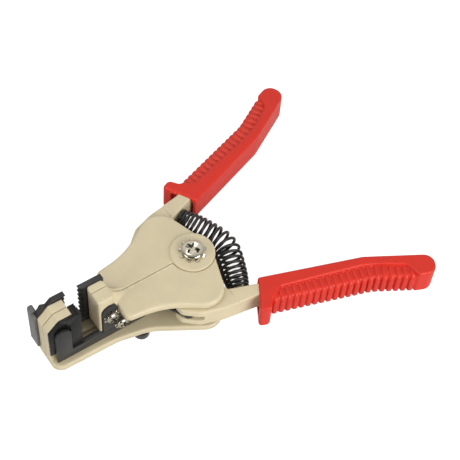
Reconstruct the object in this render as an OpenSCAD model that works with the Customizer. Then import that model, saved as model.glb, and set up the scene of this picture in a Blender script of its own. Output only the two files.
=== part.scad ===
// Automatic wire stripper with two side by side halves, one that grips and one that cuts.
// The origin is on the pivot axis in the plane of the underside. +X points to the nose,
// +Y to the gripper half and +Z up along the pivot.

/* [Body] */
// Height of the covers' top face above the underside
cover_top = 21.5; // [20:0.1:24]
// Thickness of the cover plates
cover_t = 3.3; // [2.6:0.1:3.6]
// Distance from the pivot to the front edge of the covers
cover_front = 40.5; // [39:0.5:42]
// Half width of the body, which also sets the handle arms inside it
cover_half_w = 26.3; // [24:0.1:27]
// Thickness of the lower frames
frame_t = 3.2; // [2.6:0.1:3.2]
// Half width of the lower frames beside the nose
frame_half_w = 9.3; // [8.8:0.1:10]
// Gap between the two halves along the middle of the tool
seam = 0.2; // [0.1:0.05:0.3]

/* [Jaws] */
// Distance from the pivot to the front face of the fixed jaws
jaw_front = 49.5; // [48.5:0.1:50.5]
// Length of the fixed jaws along the tool
jaw_len = 7.6; // [7:0.1:8]
// Half width of the fixed jaw of the gripper half
jaw_half_w = 6.1; // [6:0.1:6.3]
// Height of both jaws above the underside
jaw_top = 30.6; // [29:0.1:32]
// Distance from the pivot to the inner face of the sliding nose
nose_back = 60.8; // [60:0.1:62]
// Distance from the pivot to the front face of the nose
nose_front = 72.4; // [71:0.1:74]
// Half width of the nose
nose_half_w = 4.3; // [4:0.05:4.4]
// Thickness of the grip pad in front of the nose
pad_t = 3.2; // [2.6:0.1:3.4]
// Travel of the gripper nose
grip_travel = 7.0; // [6:0.1:7]
// Travel of the cutter nose
cut_travel = 5.9; // [5:0.1:5.9]

/* [Handles] */
// Swing of a handle against its half, in degrees
squeeze_angle = 17; // [12:1:17]
// Spread of each half from the middle, in degrees
spread_angle = 8; // [4:1:8]
// Thickness of the handle arms inside the body
arm_t = 9.5; // [9:0.1:9.5]
// Thickness of the grips
grip_t = 14; // [13:0.1:15]
// Distance from the pivot to the end of the grips
grip_reach = 89.2; // [86:0.1:94]
// Number of finger ribs on a grip
rib_count = 21; // [16:1:24]

/* [Pivot] */
// Radius of the pivot sleeve
sleeve_r = 4.2; // [3.6:0.1:4.4]
// Radius of the round pivot bosses
boss_r = 9.8; // [9.4:0.1:10]
// Running clearance of the joints on the pivot sleeve
pivot_clear = 0.05; // [0.02:0.01:0.1]

/* [Springs] */
// Wire diameter of the main spring
spring_wire = 1.2; // [1:0.05:1.25]
// Mean coil diameter in the middle of the main spring, which is thinner at its ends
spring_coil_d = 10.6; // [9.6:0.1:10.8]
// Number of turns of the main spring
spring_turns = 20; // [17:1:20]

/* [Hidden] */

// Colours of the real materials
cream_paint = [0.83, 0.78, 0.65];
black_steel = [0.14, 0.14, 0.14];
red_plastic = [0.83, 0.22, 0.16];
nickel = [0.75, 0.72, 0.66];

// Overrun of cuts, and the fineness of round shapes
over = 1;
round_fn = 48;
fine_fn = 24;
arc_steps = 6;

// Small gaps: between stacked layers, between parts that slide, and between still parts
layer_gap = 0.1;
slide_gap = 0.3;
half_seam = seam / 2;

// Heights of the layers
cover_low = cover_top - cover_t;
lap_z = cover_low + cover_t / 2;
boss_rise = 0.8;
boss_top = cover_top + boss_rise;
arm_high = cover_low - 2 * layer_gap;
arm_low = arm_high - arm_t;
arm_mid = (arm_low + arm_high) / 2;
arm_out_rise = 0.4;
arm_out_high = arm_high + arm_out_rise;

// Rounding of the castings' edges
cast_bevel = 0.9;
small_bevel = 0.5;

// Outlines of half plates, as shares of the front distance and the half width
cover_shares = [[1, -0.2], [1, 0.502], [0.595, 0.582], [0.025, 1.175], [-0.267, -0.143]];
cover_r = [0, 3, 14, 8.2, 0];
frame_side_shares = [[0.40, 1.376], [0.60, 1.05]];

// Pivot flange under the frames
flange_r = 9;
flange_t = 1.2;

// Lobe of the lower frames, set in from the covers' lobe
lobe_inset = 1.4;
frame_tail_slack = 0.5;

// Tail of the side rails
rail_tail = 27;

// Drive studs, each in a lower frame, and the pins in the handle arms
stud_r = 1.4;
stud_spacer_r = 2.2;
stud_x = rail_tail - stud_spacer_r - 2 * slide_gap;
stud_y = 4.5;
stud_cap_h = 1.2;
pin_x_share = 0.5133;
pin_x = pin_x_share * cover_half_w;
pin_y_share = 0.6464;
pin_y = pin_y_share * cover_half_w;
pin_r = 1.3;
pin_slack = 0.1;
drive_t = 1.8;
drive_slack = 0.15;
drive_low = arm_mid - drive_t / 2;
drive_margin = 1;

// Knobs under the lower frames that the tool rests on
knob_x_share = 0.435;
knob_x = knob_x_share * nose_front;
knob_y = frame_half_w;
knob_r = 3.5;
knob_h = 3.4;
knob_shank_r = 1.6;
knob_roof = 0.8;

// Side rails
rail_t = 1.3;
pad_floor_t = 0.7;
rail_in = nose_half_w + pad_floor_t + slide_gap;
rail_out = rail_in + rail_t;
rail_low = frame_t + layer_gap;
rail_h = 4.9;
rail_high = rail_low + rail_h;
rail_flange_w = 1.4;
tab_len = 7.2;
tab_set_back = 2.2;
tab_front = nose_front - tab_set_back;
tab_back = tab_front - tab_len;
tab_drop = 5.9;
tab_top = jaw_top - tab_drop;

// Pocket in the fixed jaw and the lug of the rail in it
pocket_front_wall = 0.9;
pocket_front = jaw_front - pocket_front_wall;
pocket_w = 7.9;
pocket_back = pocket_front - pocket_w;
pocket_drop = 5;
pocket_top = jaw_top - pocket_drop;
lug_slack = 0.4;
jaw_low = rail_high + layer_gap;
core_len = 13.3;
core_back = jaw_front - core_len;
core_half_w = rail_in;

// Screws of the rails, with their star washers
screw_a_in = 5.2;
screw_a_z_share = 0.58;
screw_b_in = 3.2;
screw_b_x = core_back + screw_b_in;
screw_b_z_share = 0.31;
screw_head_r = 2.25;
screw_head_h = 1.3;
screw_r = 1.4;
screw_len = 3.4;
washer_r = 3.1;
washer_t = 0.5;
washer_teeth = 9;
cross_w = 0.6;
cross_l = 2.6;
cross_depth = 0.8;

// Main pivot fasteners
star_r = 6;
star_t = 0.6;
star_teeth = 9;
bolt_head_r = 4.3;
bolt_head_h = 1.9;
bolt_r = 2.5;
bolt_bore_slack = 0.05;
bolt_cross_w = 1.1;
bolt_cross_l = 5.2;
bolt_cross_depth = 1.2;
sleeve_top = boss_top + layer_gap / 2;

// Blades of the cutter half
blade_t = 2.6;
blade_in = rail_out - layer_gap - blade_t;
blade_reach = 3.1;
blade_tip = jaw_front + blade_reach;
blade_wall = 0.6;
blade_back = screw_b_x + screw_r + blade_wall;
blade_screw_in = 6.6;
notch_pitch = 3.1;
notch_r = 1.45;
notch_count = 7;
notch_sink = 0.35;
scallop_r = 2.3;
scallop_depth = 1.5;
nose_blade_in = nose_half_w;
nose_blade_t = 2.6;
nose_blade_reach = 2;
nose_blade_tip = nose_back - nose_blade_reach;
nose_blade_wave = 2.4;
nose_screw_in = 1.4;
stop_screw_in = 3.6;
stop_screw_z_share = 0.55;
nose_blade_rise = 0.8;
blade_screw_r = 1.8;
blade_screw_h = 0.9;

// Wire stop on the far side of the nose
stop_t = 1.2;
stop_out = 10.4;
stop_low = 4.2;
stop_drop = 4.6;
stop_high = jaw_top - stop_drop;
stop_curl_r = 1.3;
stop_leg_slack = 0.4;

// Grip pad of the gripper nose
pad_rim_t = 0.9;
pad_teeth = 3;
pad_tooth_depth = 0.6;
pad_back = nose_back - pad_t;
pad_low = rail_high + slide_gap;
foot_half_w = rail_in - rail_flange_w - slide_gap;

// Nose profile seen from the side, as shares of its length and height
fold_share = 0.55;
slope_share = 0.835;

// Posts of the covers that the closing spring holds
post_x = 12.5;
post_r = 1.2;
close_wire = 0.95;
close_bore_gap = 0.825;
close_r = sleeve_r + close_bore_gap + close_wire / 2;
close_low = frame_t + 0.8 * close_wire;
close_pitch = 1.45 * close_wire;
close_room = arm_low - slide_gap - close_wire / 2 - close_low;
close_turn_count = floor(close_room / close_pitch - 0.5);
close_leg = 14;
post_y = close_r - close_wire / 2 - post_r - layer_gap;

// Main spring: two straight runs from the seats on the handle arms and a bend behind the pivot
spring_r = spring_coil_d / 2;
spring_end_r_share = 0.68;
spring_end_r = spring_end_r_share * spring_r;
spring_bend_r = 13.5;
spring_apex_in = 7;
spring_apex = boss_r + spring_apex_in;
spring_bend_x = spring_bend_r - spring_apex;
spring_end_share = [-0.346, 0.882];
spring_end = spring_end_share * cover_half_w;
spring_end_from_bend = [spring_bend_x - spring_end[0], spring_end[1]];
spring_half_angle = atan2(spring_end_from_bend[1], spring_end_from_bend[0])
    - acos(spring_bend_r / norm(spring_end_from_bend));
spring_z = (arm_low + arm_high) / 2;
spring_seat_gap = 0.3;
spring_lead = 1.3 * spring_wire;
ring_count = 8;
side_count = 6;
spring_end_pitch_share = 0.72;
seat_r = spring_end_r + spring_wire / 2 + 0.2 * spring_wire;
seat_len = 3.4;
spigot_r = spring_end_r - spring_wire / 2 - 0.5 * spring_wire;
spigot_len = 3;

// Handle arm, as shares of the body's half width, with its tang's end as shares of the reach
arm_front_shares = [[0.281, 0.166], [0.434, 0.509], [0.729, 0.597], [0.709, 0.773], [0.482, 0.973],
                    [0.115, 1.092], [-0.468, 1.180]];
tang_end_shares = [[-0.715, 0.528], [-0.70, 0.487]];
arm_back_shares = [[-0.108, 0.814], [-0.203, 0.373], [-0.295, 0.1525]];
arm_r = [0, 4, 2, 2.6, 8, 12, 30, 1.2, 2, 3, 6, 0];
lug_r = 8.6;
lug_free = 0.5;
fork_cut_shares = [[0.458, 1.221], [0.316, 0.490], [0.338, 0.304], [0.338, -0.171], [1.526, -0.171],
                   [1.526, 1.221]];
arm_step_x_share = 0.152;
arm_step_r_share = 0.8555;
tang_x_share = 0.7225;
tang_step_low = 1.5;
tang_step_high = 2;

// Grip: its mouth as shares of the body's half width, the rest as shares of the reach
grip_tail_shares = [[-1, 0.616], [-0.697, 0.443]];
grip_mouth_shares = [[-0.665, 0.909], [-0.3425, 1.448], [-0.5155, 1.519], [-0.614, 1.3635]];
grip_outer_shares = [[-0.678, 0.562], [-0.875, 0.676], [-0.948, 0.712]];
grip_tip_r_share = 0.0538;
grip_tip_r = grip_tip_r_share * grip_reach;
grip_r = [grip_tip_r, 14, 1.5, 1.4, 1.6, 0, 14, 0, grip_tip_r];
rib_zone_tail_shares = [[-0.458, 0.427], [-0.660, 0.487], [-0.730, 0.518], [-0.858, 0.594],
                        [-0.880, 0.656], [-0.93, 0.80], [-0.60, 0.80]];
rib_zone_mouth_shares = [[-0.543, 1.865], [-0.661, 1.391], [-0.746, 1.292], [-0.855, 1.245]];
rib_start_share = [-0.699, 1.374];
rib_line_shares = [[-0.678, 0.560], [-0.855, 0.662]];
rib_recess = 0.8;
rib_r = 1.9;
rib_sink = 0.2;
grip_roof = 0.6;
grip_high = arm_out_high + grip_roof;
grip_low = grip_high - grip_t;
grip_wall = 1.6;
socket_shares = [[-0.984, 1.119], [-0.933, 1.262], [-0.305, 1.458], [-0.305, 1.0175], [-0.5935, 0.933]];
tang_slack = 0.1;

// Unit vector, the points of an outline moved inwards, and its corners made round
function unit(v) = v / norm(v);
function left(v) = [-v[1], v[0]];
function moved_corner(a, b, c, d) =
    let (u = unit(b - a), v = unit(c - b), turn = u[0] * v[1] - u[1] * v[0],
         p = b + left(u) * d, q = b + left(v) * d)
    abs(turn) < 0.001 ? p : p + u * ((q - p)[0] * v[1] - (q - p)[1] * v[0]) / turn;
function inset(p, d) = let (n = len(p))
    [for (i = [0 : n - 1]) moved_corner(p[(i + n - 1) % n], p[i], p[(i + 1) % n], d)];
function corner_turn(a, b, c) = let (u = b - a, v = c - b) u[0] * v[1] - u[1] * v[0];
function round_corner(a, b, c, r) =
    let (u = unit(a - b), v = unit(c - b), half = acos(u * v) / 2,
         centre = b + unit(u + v) * r / sin(half),
         s = b + u * r / tan(half) - centre, e = b + v * r / tan(half) - centre,
         sweep = (180 - 2 * half) * (corner_turn(a, b, c) > 0 ? 1 : -1))
    [for (k = [0 : arc_steps]) let (g = sweep * k / arc_steps)
        centre + [s[0] * cos(g) - s[1] * sin(g), s[0] * sin(g) + s[1] * cos(g)]];
function rounded(p, r, d = 0) = let (n = len(p), q = inset(p, d))
    [for (i = [0 : n - 1])
        let (a = q[(i + n - 1) % n], b = q[i], c = q[(i + 1) % n],
             way = corner_turn(a, b, c) > 0 ? -1 : 1)
        each (r[i] == 0 ? [b] : round_corner(a, b, c, r[i] + way * d))];
function scaled(shares, sx, sy) = [for (s = shares) [s[0] * sx, s[1] * sy]];
function at_height(loop, z) = [for (p = loop) [p[0], p[1], z]];

// A closed solid through loops with the same number of points, one above the other
module skin(loops) {
    n = len(loops[0]);
    m = len(loops);
    polyhedron(
        points = [for (l = loops) each l],
        faces = concat(
            [[for (i = [0 : n - 1]) i]],
            [for (j = [0 : m - 2], i = [0 : n - 1])
                let (a = j * n + i, b = j * n + (i + 1) % n)
                each [[a, a + n, b], [b, a + n, b + n]]],
            [[for (i = [n - 1 : -1 : 0]) (m - 1) * n + i]]));
}

// A plate with an outline of round corners and softened edges
module slab(p, r, low, high, bevel) {
    skin([at_height(rounded(p, r, bevel), low),
          at_height(rounded(p, r), low + bevel),
          at_height(rounded(p, r), high - bevel),
          at_height(rounded(p, r, bevel), high)]);
}

// A plate with an outline of round corners, moved inwards by d
module plate(p, r, low, high, d = 0) {
    translate([0, 0, low]) linear_extrude(high - low) polygon(rounded(p, r, d));
}

// A block between two corners
module block(low, high) {
    translate(low) cube(high - low);
}

// A side view outline in X and Z, given a thickness along Y
module side_plate(points, y_low, y_high) {
    translate([0, y_high, 0]) rotate([90, 0, 0]) linear_extrude(y_high - y_low) polygon(points);
}

// A round bar along Y
module y_bar(x, z, r, y_low, y_high, fn = fine_fn) {
    translate([x, y_low, z]) rotate([-90, 0, 0]) cylinder(h = y_high - y_low, r = r, $fn = fn);
}

// The parts of the cutter half are drawn on the gripper side and mirrored
module cutter_side() {
    mirror([0, 1, 0]) children();
}

// Domed head with a cross recess, its seat at the origin and its top along +Z
module cross_head(r, h, cross_l, cross_w, depth) {
    dome_r = (r * r + h * h / 4) / h;
    difference() {
        union() {
            cylinder(h = h / 2, r = r, $fn = round_fn);
            intersection() {
                translate([0, 0, h - dome_r]) sphere(r = dome_r, $fn = round_fn);
                cylinder(h = h, r = r, $fn = round_fn);
            }
        }
        for (a = [0, 90])
            rotate([0, 0, a])
                translate([-cross_l / 2, -cross_w / 2, h - depth]) cube([cross_l, cross_w, depth + over]);
    }
}

// Star washer lying on the origin plane
module star_washer(r, bore, t, teeth) {
    difference() {
        union() {
            cylinder(h = t, r = 0.78 * r, $fn = round_fn);
            for (k = [0 : teeth - 1])
                rotate([0, 0, 360 * k / teeth])
                    translate([0.7 * r, -0.11 * r, 0]) cube([0.3 * r, 0.22 * r, t]);
        }
        translate([0, 0, -over]) cylinder(h = t + 2 * over, r = bore, $fn = round_fn);
    }
}

// Tube along points, each with a reference direction across the tube
function tube_loop(p, t, ref, r, sides) =
    let (u = unit(ref - (ref * t) * t), v = cross(t, u))
    [for (k = [0 : sides - 1]) p + r * (cos(360 * k / sides) * u + sin(360 * k / sides) * v)];
module tube(path, refs, r, sides) {
    n = len(path);
    rings = [for (i = [0 : n - 1])
        tube_loop(path[i], unit(path[min(i + 1, n - 1)] - path[max(i - 1, 0)]), refs[i], r, sides)];
    polyhedron(
        points = [for (l = rings) each l],
        faces = concat(
            [for (k = [1 : sides - 2]) [0, k, k + 1]],
            [for (j = [0 : n - 2], i = [0 : sides - 1])
                let (a = j * sides + i, b = j * sides + (i + 1) % sides)
                each [[a, a + sides, b], [b, a + sides, b + sides]]],
            [for (k = [1 : sides - 2]) [(n - 1) * sides, (n - 1) * sides + k + 1, (n - 1) * sides + k]]));
}
function least_gap(path, skip, wire) =
    min([for (i = [0 : len(path) - 1], j = [i + skip : 1 : len(path) - 1]) norm(path[i] - path[j])]) - wire;

// Main spring: its centre line by the length from the middle, its turns and its straight ends
function length_of(angle, r) = angle * r * PI / 180;
spring_bend_len = length_of(spring_half_angle, spring_bend_r);
spring_run_len = (spring_end[1] - spring_bend_r * sin(spring_half_angle)) / cos(spring_half_angle);
spring_half_len = spring_bend_len + spring_run_len;
function line_angle(s) = spring_half_angle * max(-1, min(1, s / spring_bend_len));
function line_way(s) = [sin(line_angle(s)), cos(line_angle(s)), 0];
function line_out(s) = [-cos(line_angle(s)), sin(line_angle(s)), 0];
function line_point(s) = let (g = line_angle(s), run = s - length_of(g, spring_bend_r))
    [spring_bend_x - spring_bend_r * cos(g), spring_bend_r * sin(g), spring_z] + run * line_way(s);
coil_len = 2 * (spring_half_len - spring_lead - spring_seat_gap);
function coil_share(u) = u - (1 - spring_end_pitch_share) * sin(360 * u) / (2 * PI);
function coil_place(u) = (coil_share(u) - 0.5) * coil_len;
function coil_r(s) = spring_r - (spring_r - spring_end_r) * pow(2 * s / coil_len, 2);
function coil_radial(u) = let (w = 360 * spring_turns * u)
    cos(w) * line_out(coil_place(u)) + [0, 0, sin(w)];
coil_steps = spring_turns * ring_count;
coil_path = [for (i = [0 : coil_steps]) let (u = i / coil_steps)
    line_point(coil_place(u)) + coil_r(coil_place(u)) * coil_radial(u)];
coil_refs = [for (i = [0 : coil_steps]) coil_radial(i / coil_steps)];
spring_end_place = spring_half_len - spring_seat_gap;
function lead_end(way, reach) = line_point(way * (spring_end_place - reach))
    + spring_end_r * line_out(way * spring_end_place);
spring_path = concat(
    [lead_end(-1, 0), lead_end(-1, spring_wire)], coil_path, [lead_end(1, spring_wire), lead_end(1, 0)]);
spring_refs = concat(
    [line_out(-spring_end_place), line_out(-spring_end_place)], coil_refs,
    [line_out(spring_end_place), line_out(spring_end_place)]);

module main_spring() {
    color(black_steel) tube(spring_path, spring_refs, spring_wire / 2, side_count);
}

// Closing spring: a torsion coil round the sleeve with two legs outside the posts
close_steps = close_turn_count * ring_count;
close_coil = [for (i = [0 : close_steps]) let (w = -90 - 360 * i / ring_count)
    [close_r * cos(w), close_r * sin(w), close_low + close_pitch * i / ring_count]];
close_half = [for (i = [1 : ring_count / 2]) let (w = -90 - 360 * i / ring_count)
    [close_r * cos(w), close_r * sin(w),
     close_low + close_pitch * (close_turn_count + i / ring_count)]];
close_path = concat([[close_leg, -close_r, close_low], [close_wire, -close_r, close_low]],
                    close_coil, close_half,
                    [[close_wire, close_r, close_low + close_pitch * (close_turn_count + 0.5)],
                     [close_leg, close_r, close_low + close_pitch * (close_turn_count + 0.5)]]);
module closing_spring() {
    color(black_steel)
        tube(close_path, [for (p = close_path) [0, 0, 1]], close_wire / 2, side_count);
}

// Main pivot: a flanged sleeve nut, a bolt down into it and a star washer under the head
module pivot_sleeve_nut() {
    color(nickel) difference() {
        union() {
            cylinder(h = sleeve_top, r = sleeve_r, $fn = round_fn);
            cylinder(h = flange_t, r = flange_r, $fn = round_fn);
        }
        translate([0, 0, 2 * flange_t])
            cylinder(h = sleeve_top, r = bolt_r + bolt_bore_slack, $fn = round_fn);
    }
}
module pivot_star_washer() {
    color(nickel) translate([0, 0, sleeve_top])
        star_washer(star_r, bolt_r + bolt_bore_slack, star_t, star_teeth);
}
module pivot_bolt() {
    color(nickel) {
        translate([0, 0, sleeve_top + star_t])
            cross_head(bolt_head_r, bolt_head_h, bolt_cross_l, bolt_cross_w, bolt_cross_depth);
        translate([0, 0, 3 * flange_t])
            cylinder(h = sleeve_top + star_t - 3 * flange_t, r = bolt_r, $fn = round_fn);
    }
}

// Half cover without its pivot boss: the plate, the fixed jaw and the ramp between them
cover_outline = scaled(cover_shares, cover_front, cover_half_w);
module past_seam() {
    translate([-grip_reach, half_seam - grip_reach, -grip_reach / 2])
        cube([2 * grip_reach, grip_reach, grip_reach]);
}
ramp_shares = [[0, 0], [0.22, 0.05], [0.42, 0.13], [0.6, 0.25], [0.76, 0.42], [0.9, 0.66], [1, 0.9]];
ramp_foot_share = 0.5;
ramp_len = 8.9;
ramp_dip = 0.3;
ramp_w = 4.8;
function ramp_loop(line, y) = let (back = jaw_front - jaw_len + over, z = cover_low + over)
    [for (p = concat(line, [[back, line[len(line) - 1][1]], [back, z], [line[0][0], z]])) [p[0], y, p[1]]];
module ramp() {
    rise = jaw_top - cover_top;
    start = jaw_front - jaw_len - ramp_len;
    top_line = [for (s = ramp_shares) [start + s[0] * ramp_len, cover_top - ramp_dip + s[1] * rise]];
    foot_line = [for (s = ramp_shares)
        [start + (ramp_foot_share + s[0] * (1 - ramp_foot_share)) * ramp_len, cover_top - ramp_dip]];
    skin([ramp_loop(top_line, -ramp_w / 2), ramp_loop(top_line, ramp_w / 4), ramp_loop(foot_line, ramp_w)]);
}
module jaw_block(half_w) {
    jaw_back = jaw_front - jaw_len;
    slab([[jaw_back, -half_w], [jaw_front, -half_w], [jaw_front, half_w], [jaw_back, half_w]],
         [0, 0, small_bevel * 2, small_bevel * 3], jaw_low, jaw_top, small_bevel);
    block([core_back, -half_w, jaw_low + small_bevel],
          [jaw_back + over, min(core_half_w, half_w) - layer_gap, cover_low + over]);
}
module half_cover(half_w) {
    slab(cover_outline, cover_r, cover_low, cover_top, cast_bevel);
    ramp();
    jaw_block(half_w);
    translate([post_x, post_y, close_low - close_wire / 2])
        cylinder(h = cover_low + over - close_low, r = post_r, $fn = fine_fn);
}
module disc(r, low, high) {
    translate([0, 0, low]) cylinder(h = high - low, r = r, $fn = round_fn);
}
module pivot_bore(r) {
    disc(r, -over, boss_top + over);
}

// Side view of the rail's lug in the jaw pocket
screw_a = [jaw_front - screw_a_in, screw_a_z_share * jaw_top];
screw_b = [screw_b_x, screw_b_z_share * jaw_top];
module arch(back, front, low, top) {
    r = (front - back) / 2;
    translate([back, low]) square([front - back, top - low - r]);
    translate([back + r, top - r]) circle(r = r, $fn = round_fn);
}
module arch_plate(back, front, low, top, y_low, y_high) {
    translate([0, y_high, 0]) rotate([90, 0, 0]) linear_extrude(y_high - y_low)
        arch(back, front, low, top);
}
module screw_holes() {
    for (s = [screw_a, screw_b])
        y_bar(s[0], s[1], screw_r, rail_out - screw_len, rail_out + over);
}

module gripper_cover() {
    color(cream_paint) difference() {
        union() {
            difference() {
                half_cover(jaw_half_w);
                past_seam();
                disc(boss_r + slide_gap, lap_z - layer_gap / 2, boss_top + over);
            }
            disc(boss_r, cover_low, lap_z - layer_gap / 2);
        }
        pivot_bore(sleeve_r + pivot_clear);
        arch_plate(pocket_back, pocket_front, jaw_low - over, pocket_top, rail_in, jaw_half_w + over);
        screw_holes();
    }
}
module cutter_cover() {
    color(cream_paint) cutter_side() difference() {
        union() {
            difference() {
                union() {
                    half_cover(blade_in);
                    block([core_back + layer_gap, -core_half_w, jaw_low + small_bevel + layer_gap],
                          [blade_back - layer_gap, core_half_w - layer_gap, cover_low + over]);
                }
                past_seam();
                disc(boss_r + slide_gap, cover_low - over, lap_z + layer_gap / 2);
            }
            disc(boss_r, lap_z + layer_gap / 2, boss_top);
        }
        pivot_bore(sleeve_r + pivot_clear);
        block([blade_back - layer_gap, blade_in, jaw_low - over],
              [jaw_front + over, rail_out, jaw_top + over]);
        y_bar(screw_b[0], screw_b[1], screw_r, rail_out - screw_len, rail_out + over);
        blade_screw_cuts();
    }
}

// Side rails: a bar with a top flange, a lug in the jaw and, at the gripper, a front tab
module rail_bar(front) {
    block([rail_tail, rail_in, rail_low], [front, rail_out, rail_high]);
    block([core_back, rail_in - rail_flange_w, rail_high - rail_t],
          [tab_back, rail_in + layer_gap, rail_high]);
}
module gripper_rail() {
    color(black_steel) difference() {
        union() {
            rail_bar(tab_front);
            arch_plate(tab_back, tab_front, rail_low, tab_top, rail_in, rail_out);
            arch_plate(pocket_back + lug_slack, pocket_front - lug_slack, rail_low, pocket_top - lug_slack,
                       rail_in, rail_out);
            side_plate([[core_back, rail_low], [pocket_back + over, rail_low],
                        [pocket_back + over, screw_a[1]], [core_back, screw_b[1] + washer_r]],
                       rail_in, rail_out);
        }
        screw_holes();
    }
}
module cutter_rail() {
    color(black_steel) cutter_side() difference() {
        union() {
            rail_bar(tab_back);
            side_plate([[core_back, rail_low], [blade_back - slide_gap, rail_low],
                        [blade_back - slide_gap, screw_a[1] - screw_r], [core_back, screw_b[1] + washer_r]],
                       rail_in, rail_out);
        }
        y_bar(screw_b[0], screw_b[1], screw_r, rail_in - rail_flange_w - over, rail_out + over);
    }
}
module rail_screw(s) {
    translate([s[0], rail_out + washer_t, s[1]]) rotate([-90, 0, 0])
        cross_head(screw_head_r, screw_head_h, cross_l, cross_w, cross_depth);
    y_bar(s[0], s[1], screw_r - bolt_bore_slack, rail_out - screw_len + layer_gap, rail_out + washer_t);
}
module rail_washer(s) {
    translate([s[0], rail_out, s[1]]) rotate([-90, 0, 0])
        star_washer(washer_r, screw_r, washer_t, washer_teeth);
}
module gripper_rail_screws() {
    color(nickel) for (s = [screw_a, screw_b]) rail_screw(s);
}
module gripper_rail_washers() {
    color(nickel) for (s = [screw_a, screw_b]) rail_washer(s);
}
module cutter_rail_screw() {
    color(nickel) cutter_side() rail_screw(screw_b);
}
module cutter_rail_washer() {
    color(nickel) cutter_side() rail_washer(screw_b);
}

// Cutter blades: plates with a row of round notches, countersunk towards the wire's far end
blade_low = rail_high + slide_gap;
module notch_row(tip, sink_way, in_y, out_y, cone_y, cone_way) {
    for (k = [0 : notch_count - 1]) {
        z = jaw_top - (k + 0.5) * notch_pitch;
        x = tip + sink_way * notch_sink;
        y_bar(x, z, notch_r, in_y - over, out_y + over);
        translate([x, cone_y, z]) rotate([-90 * cone_way, 0, 0])
            translate([0, 0, -layer_gap])
                cylinder(h = scallop_depth, r1 = scallop_r, r2 = notch_r - layer_gap, $fn = fine_fn);
    }
}
blade_screw_z_shares = [0.42, 0.86];
module blade_screw_places() {
    for (s = blade_screw_z_shares) translate([blade_back + blade_screw_in, 0, s * jaw_top]) children();
}
module blade_screw_cuts() {
    blade_screw_places()
        translate([0, blade_in - screw_len / 2, 0]) rotate([-90, 0, 0])
            cylinder(h = screw_len, r = screw_r, $fn = fine_fn);
}
module cutter_jaw_blade() {
    color(black_steel) cutter_side() difference() {
        block([blade_back, blade_in, blade_low], [blade_tip, blade_in + blade_t, jaw_top]);
        notch_row(blade_tip, 1, blade_in, blade_in + blade_t, blade_in, 1);
        blade_screw_places()
            translate([0, blade_in - over, 0]) rotate([-90, 0, 0])
                cylinder(h = blade_t + 2 * over, r = screw_r, $fn = fine_fn);
    }
}
module blade_screw_body(in_y, face_y) {
    translate([0, face_y, 0]) rotate([-90, 0, 0])
        cross_head(blade_screw_r, blade_screw_h, cross_l, cross_w, cross_depth / 2);
    translate([0, in_y, 0]) rotate([-90, 0, 0])
        cylinder(h = face_y - in_y, r = screw_r - bolt_bore_slack, $fn = fine_fn);
}
module cutter_blade_screws() {
    color(nickel) cutter_side() blade_screw_places()
        blade_screw_body(blade_in - screw_len / 2 + layer_gap, blade_in + blade_t);
}

// Lower frames: a bottom plate with a lobe at the back and the upright nose in front
lobe_tip = scaled([cover_shares[3]], cover_front, cover_half_w)[0];
frame_front = nose_front + layer_gap;
frame_outline = [
    [frame_front, -frame_half_w], [frame_front, frame_half_w],
    [frame_side_shares[1][0] * nose_front, frame_side_shares[1][1] * frame_half_w],
    [frame_side_shares[0][0] * nose_front, frame_side_shares[0][1] * frame_half_w],
    lobe_tip - [0, lobe_inset], [-boss_r - lobe_inset / 2, -frame_half_w / 2]];
frame_r = [0, 4.5, 30, 25, 7.6, 0];
tail_angle = spread_angle + frame_tail_slack;
module stadium(r, reach, low, high) {
    for (x = [0, reach]) translate([x, 0, 0]) disc(r, low, high);
    block([0, -r, low], [reach, r, high]);
}
nose_fold = nose_back + fold_share * (nose_front - nose_back);
nose_slope_z = slope_share * jaw_top;
module half_frame() {
    difference() {
        plate(frame_outline, frame_r, 0, frame_t);
        past_seam();
        translate([grip_travel, half_seam, -over]) rotate([0, 0, -tail_angle])
            translate([-grip_reach, -grip_reach, 0]) cube([grip_reach, grip_reach, frame_t + 2 * over]);
        stadium(sleeve_r + slide_gap, grip_travel, -over, frame_t + over);
        stadium(flange_r + slide_gap, grip_travel, -over, flange_t + layer_gap);
        translate([stud_x, stud_y, -over]) cylinder(h = frame_t + 2 * over, r = stud_r, $fn = fine_fn);
        translate([knob_x, knob_y, -over])
            cylinder(h = frame_t - knob_roof + over, r = knob_shank_r, $fn = fine_fn);
    }
    side_plate([[nose_back, frame_t / 2], [nose_front, frame_t / 2],
                [nose_front, pad_low], [nose_back, pad_low]], half_seam, foot_half_w);
    side_plate([[nose_back, pad_low], [nose_front, pad_low], [nose_front, nose_slope_z],
                [nose_fold, jaw_top], [nose_back, jaw_top]], half_seam, nose_half_w);
}
module gripper_frame() {
    color(cream_paint) half_frame();
}
module cutter_frame() {
    color(cream_paint) cutter_side() difference() {
        half_frame();
        nose_screw_places() translate([0, nose_half_w - screw_len / 2, 0]) rotate([-90, 0, 0])
            cylinder(h = screw_len, r = screw_r, $fn = fine_fn);
        y_bar(stop_screw_x, stop_screw_z, screw_r, nose_half_w - screw_len / 2, nose_half_w + over);
    }
}

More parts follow.
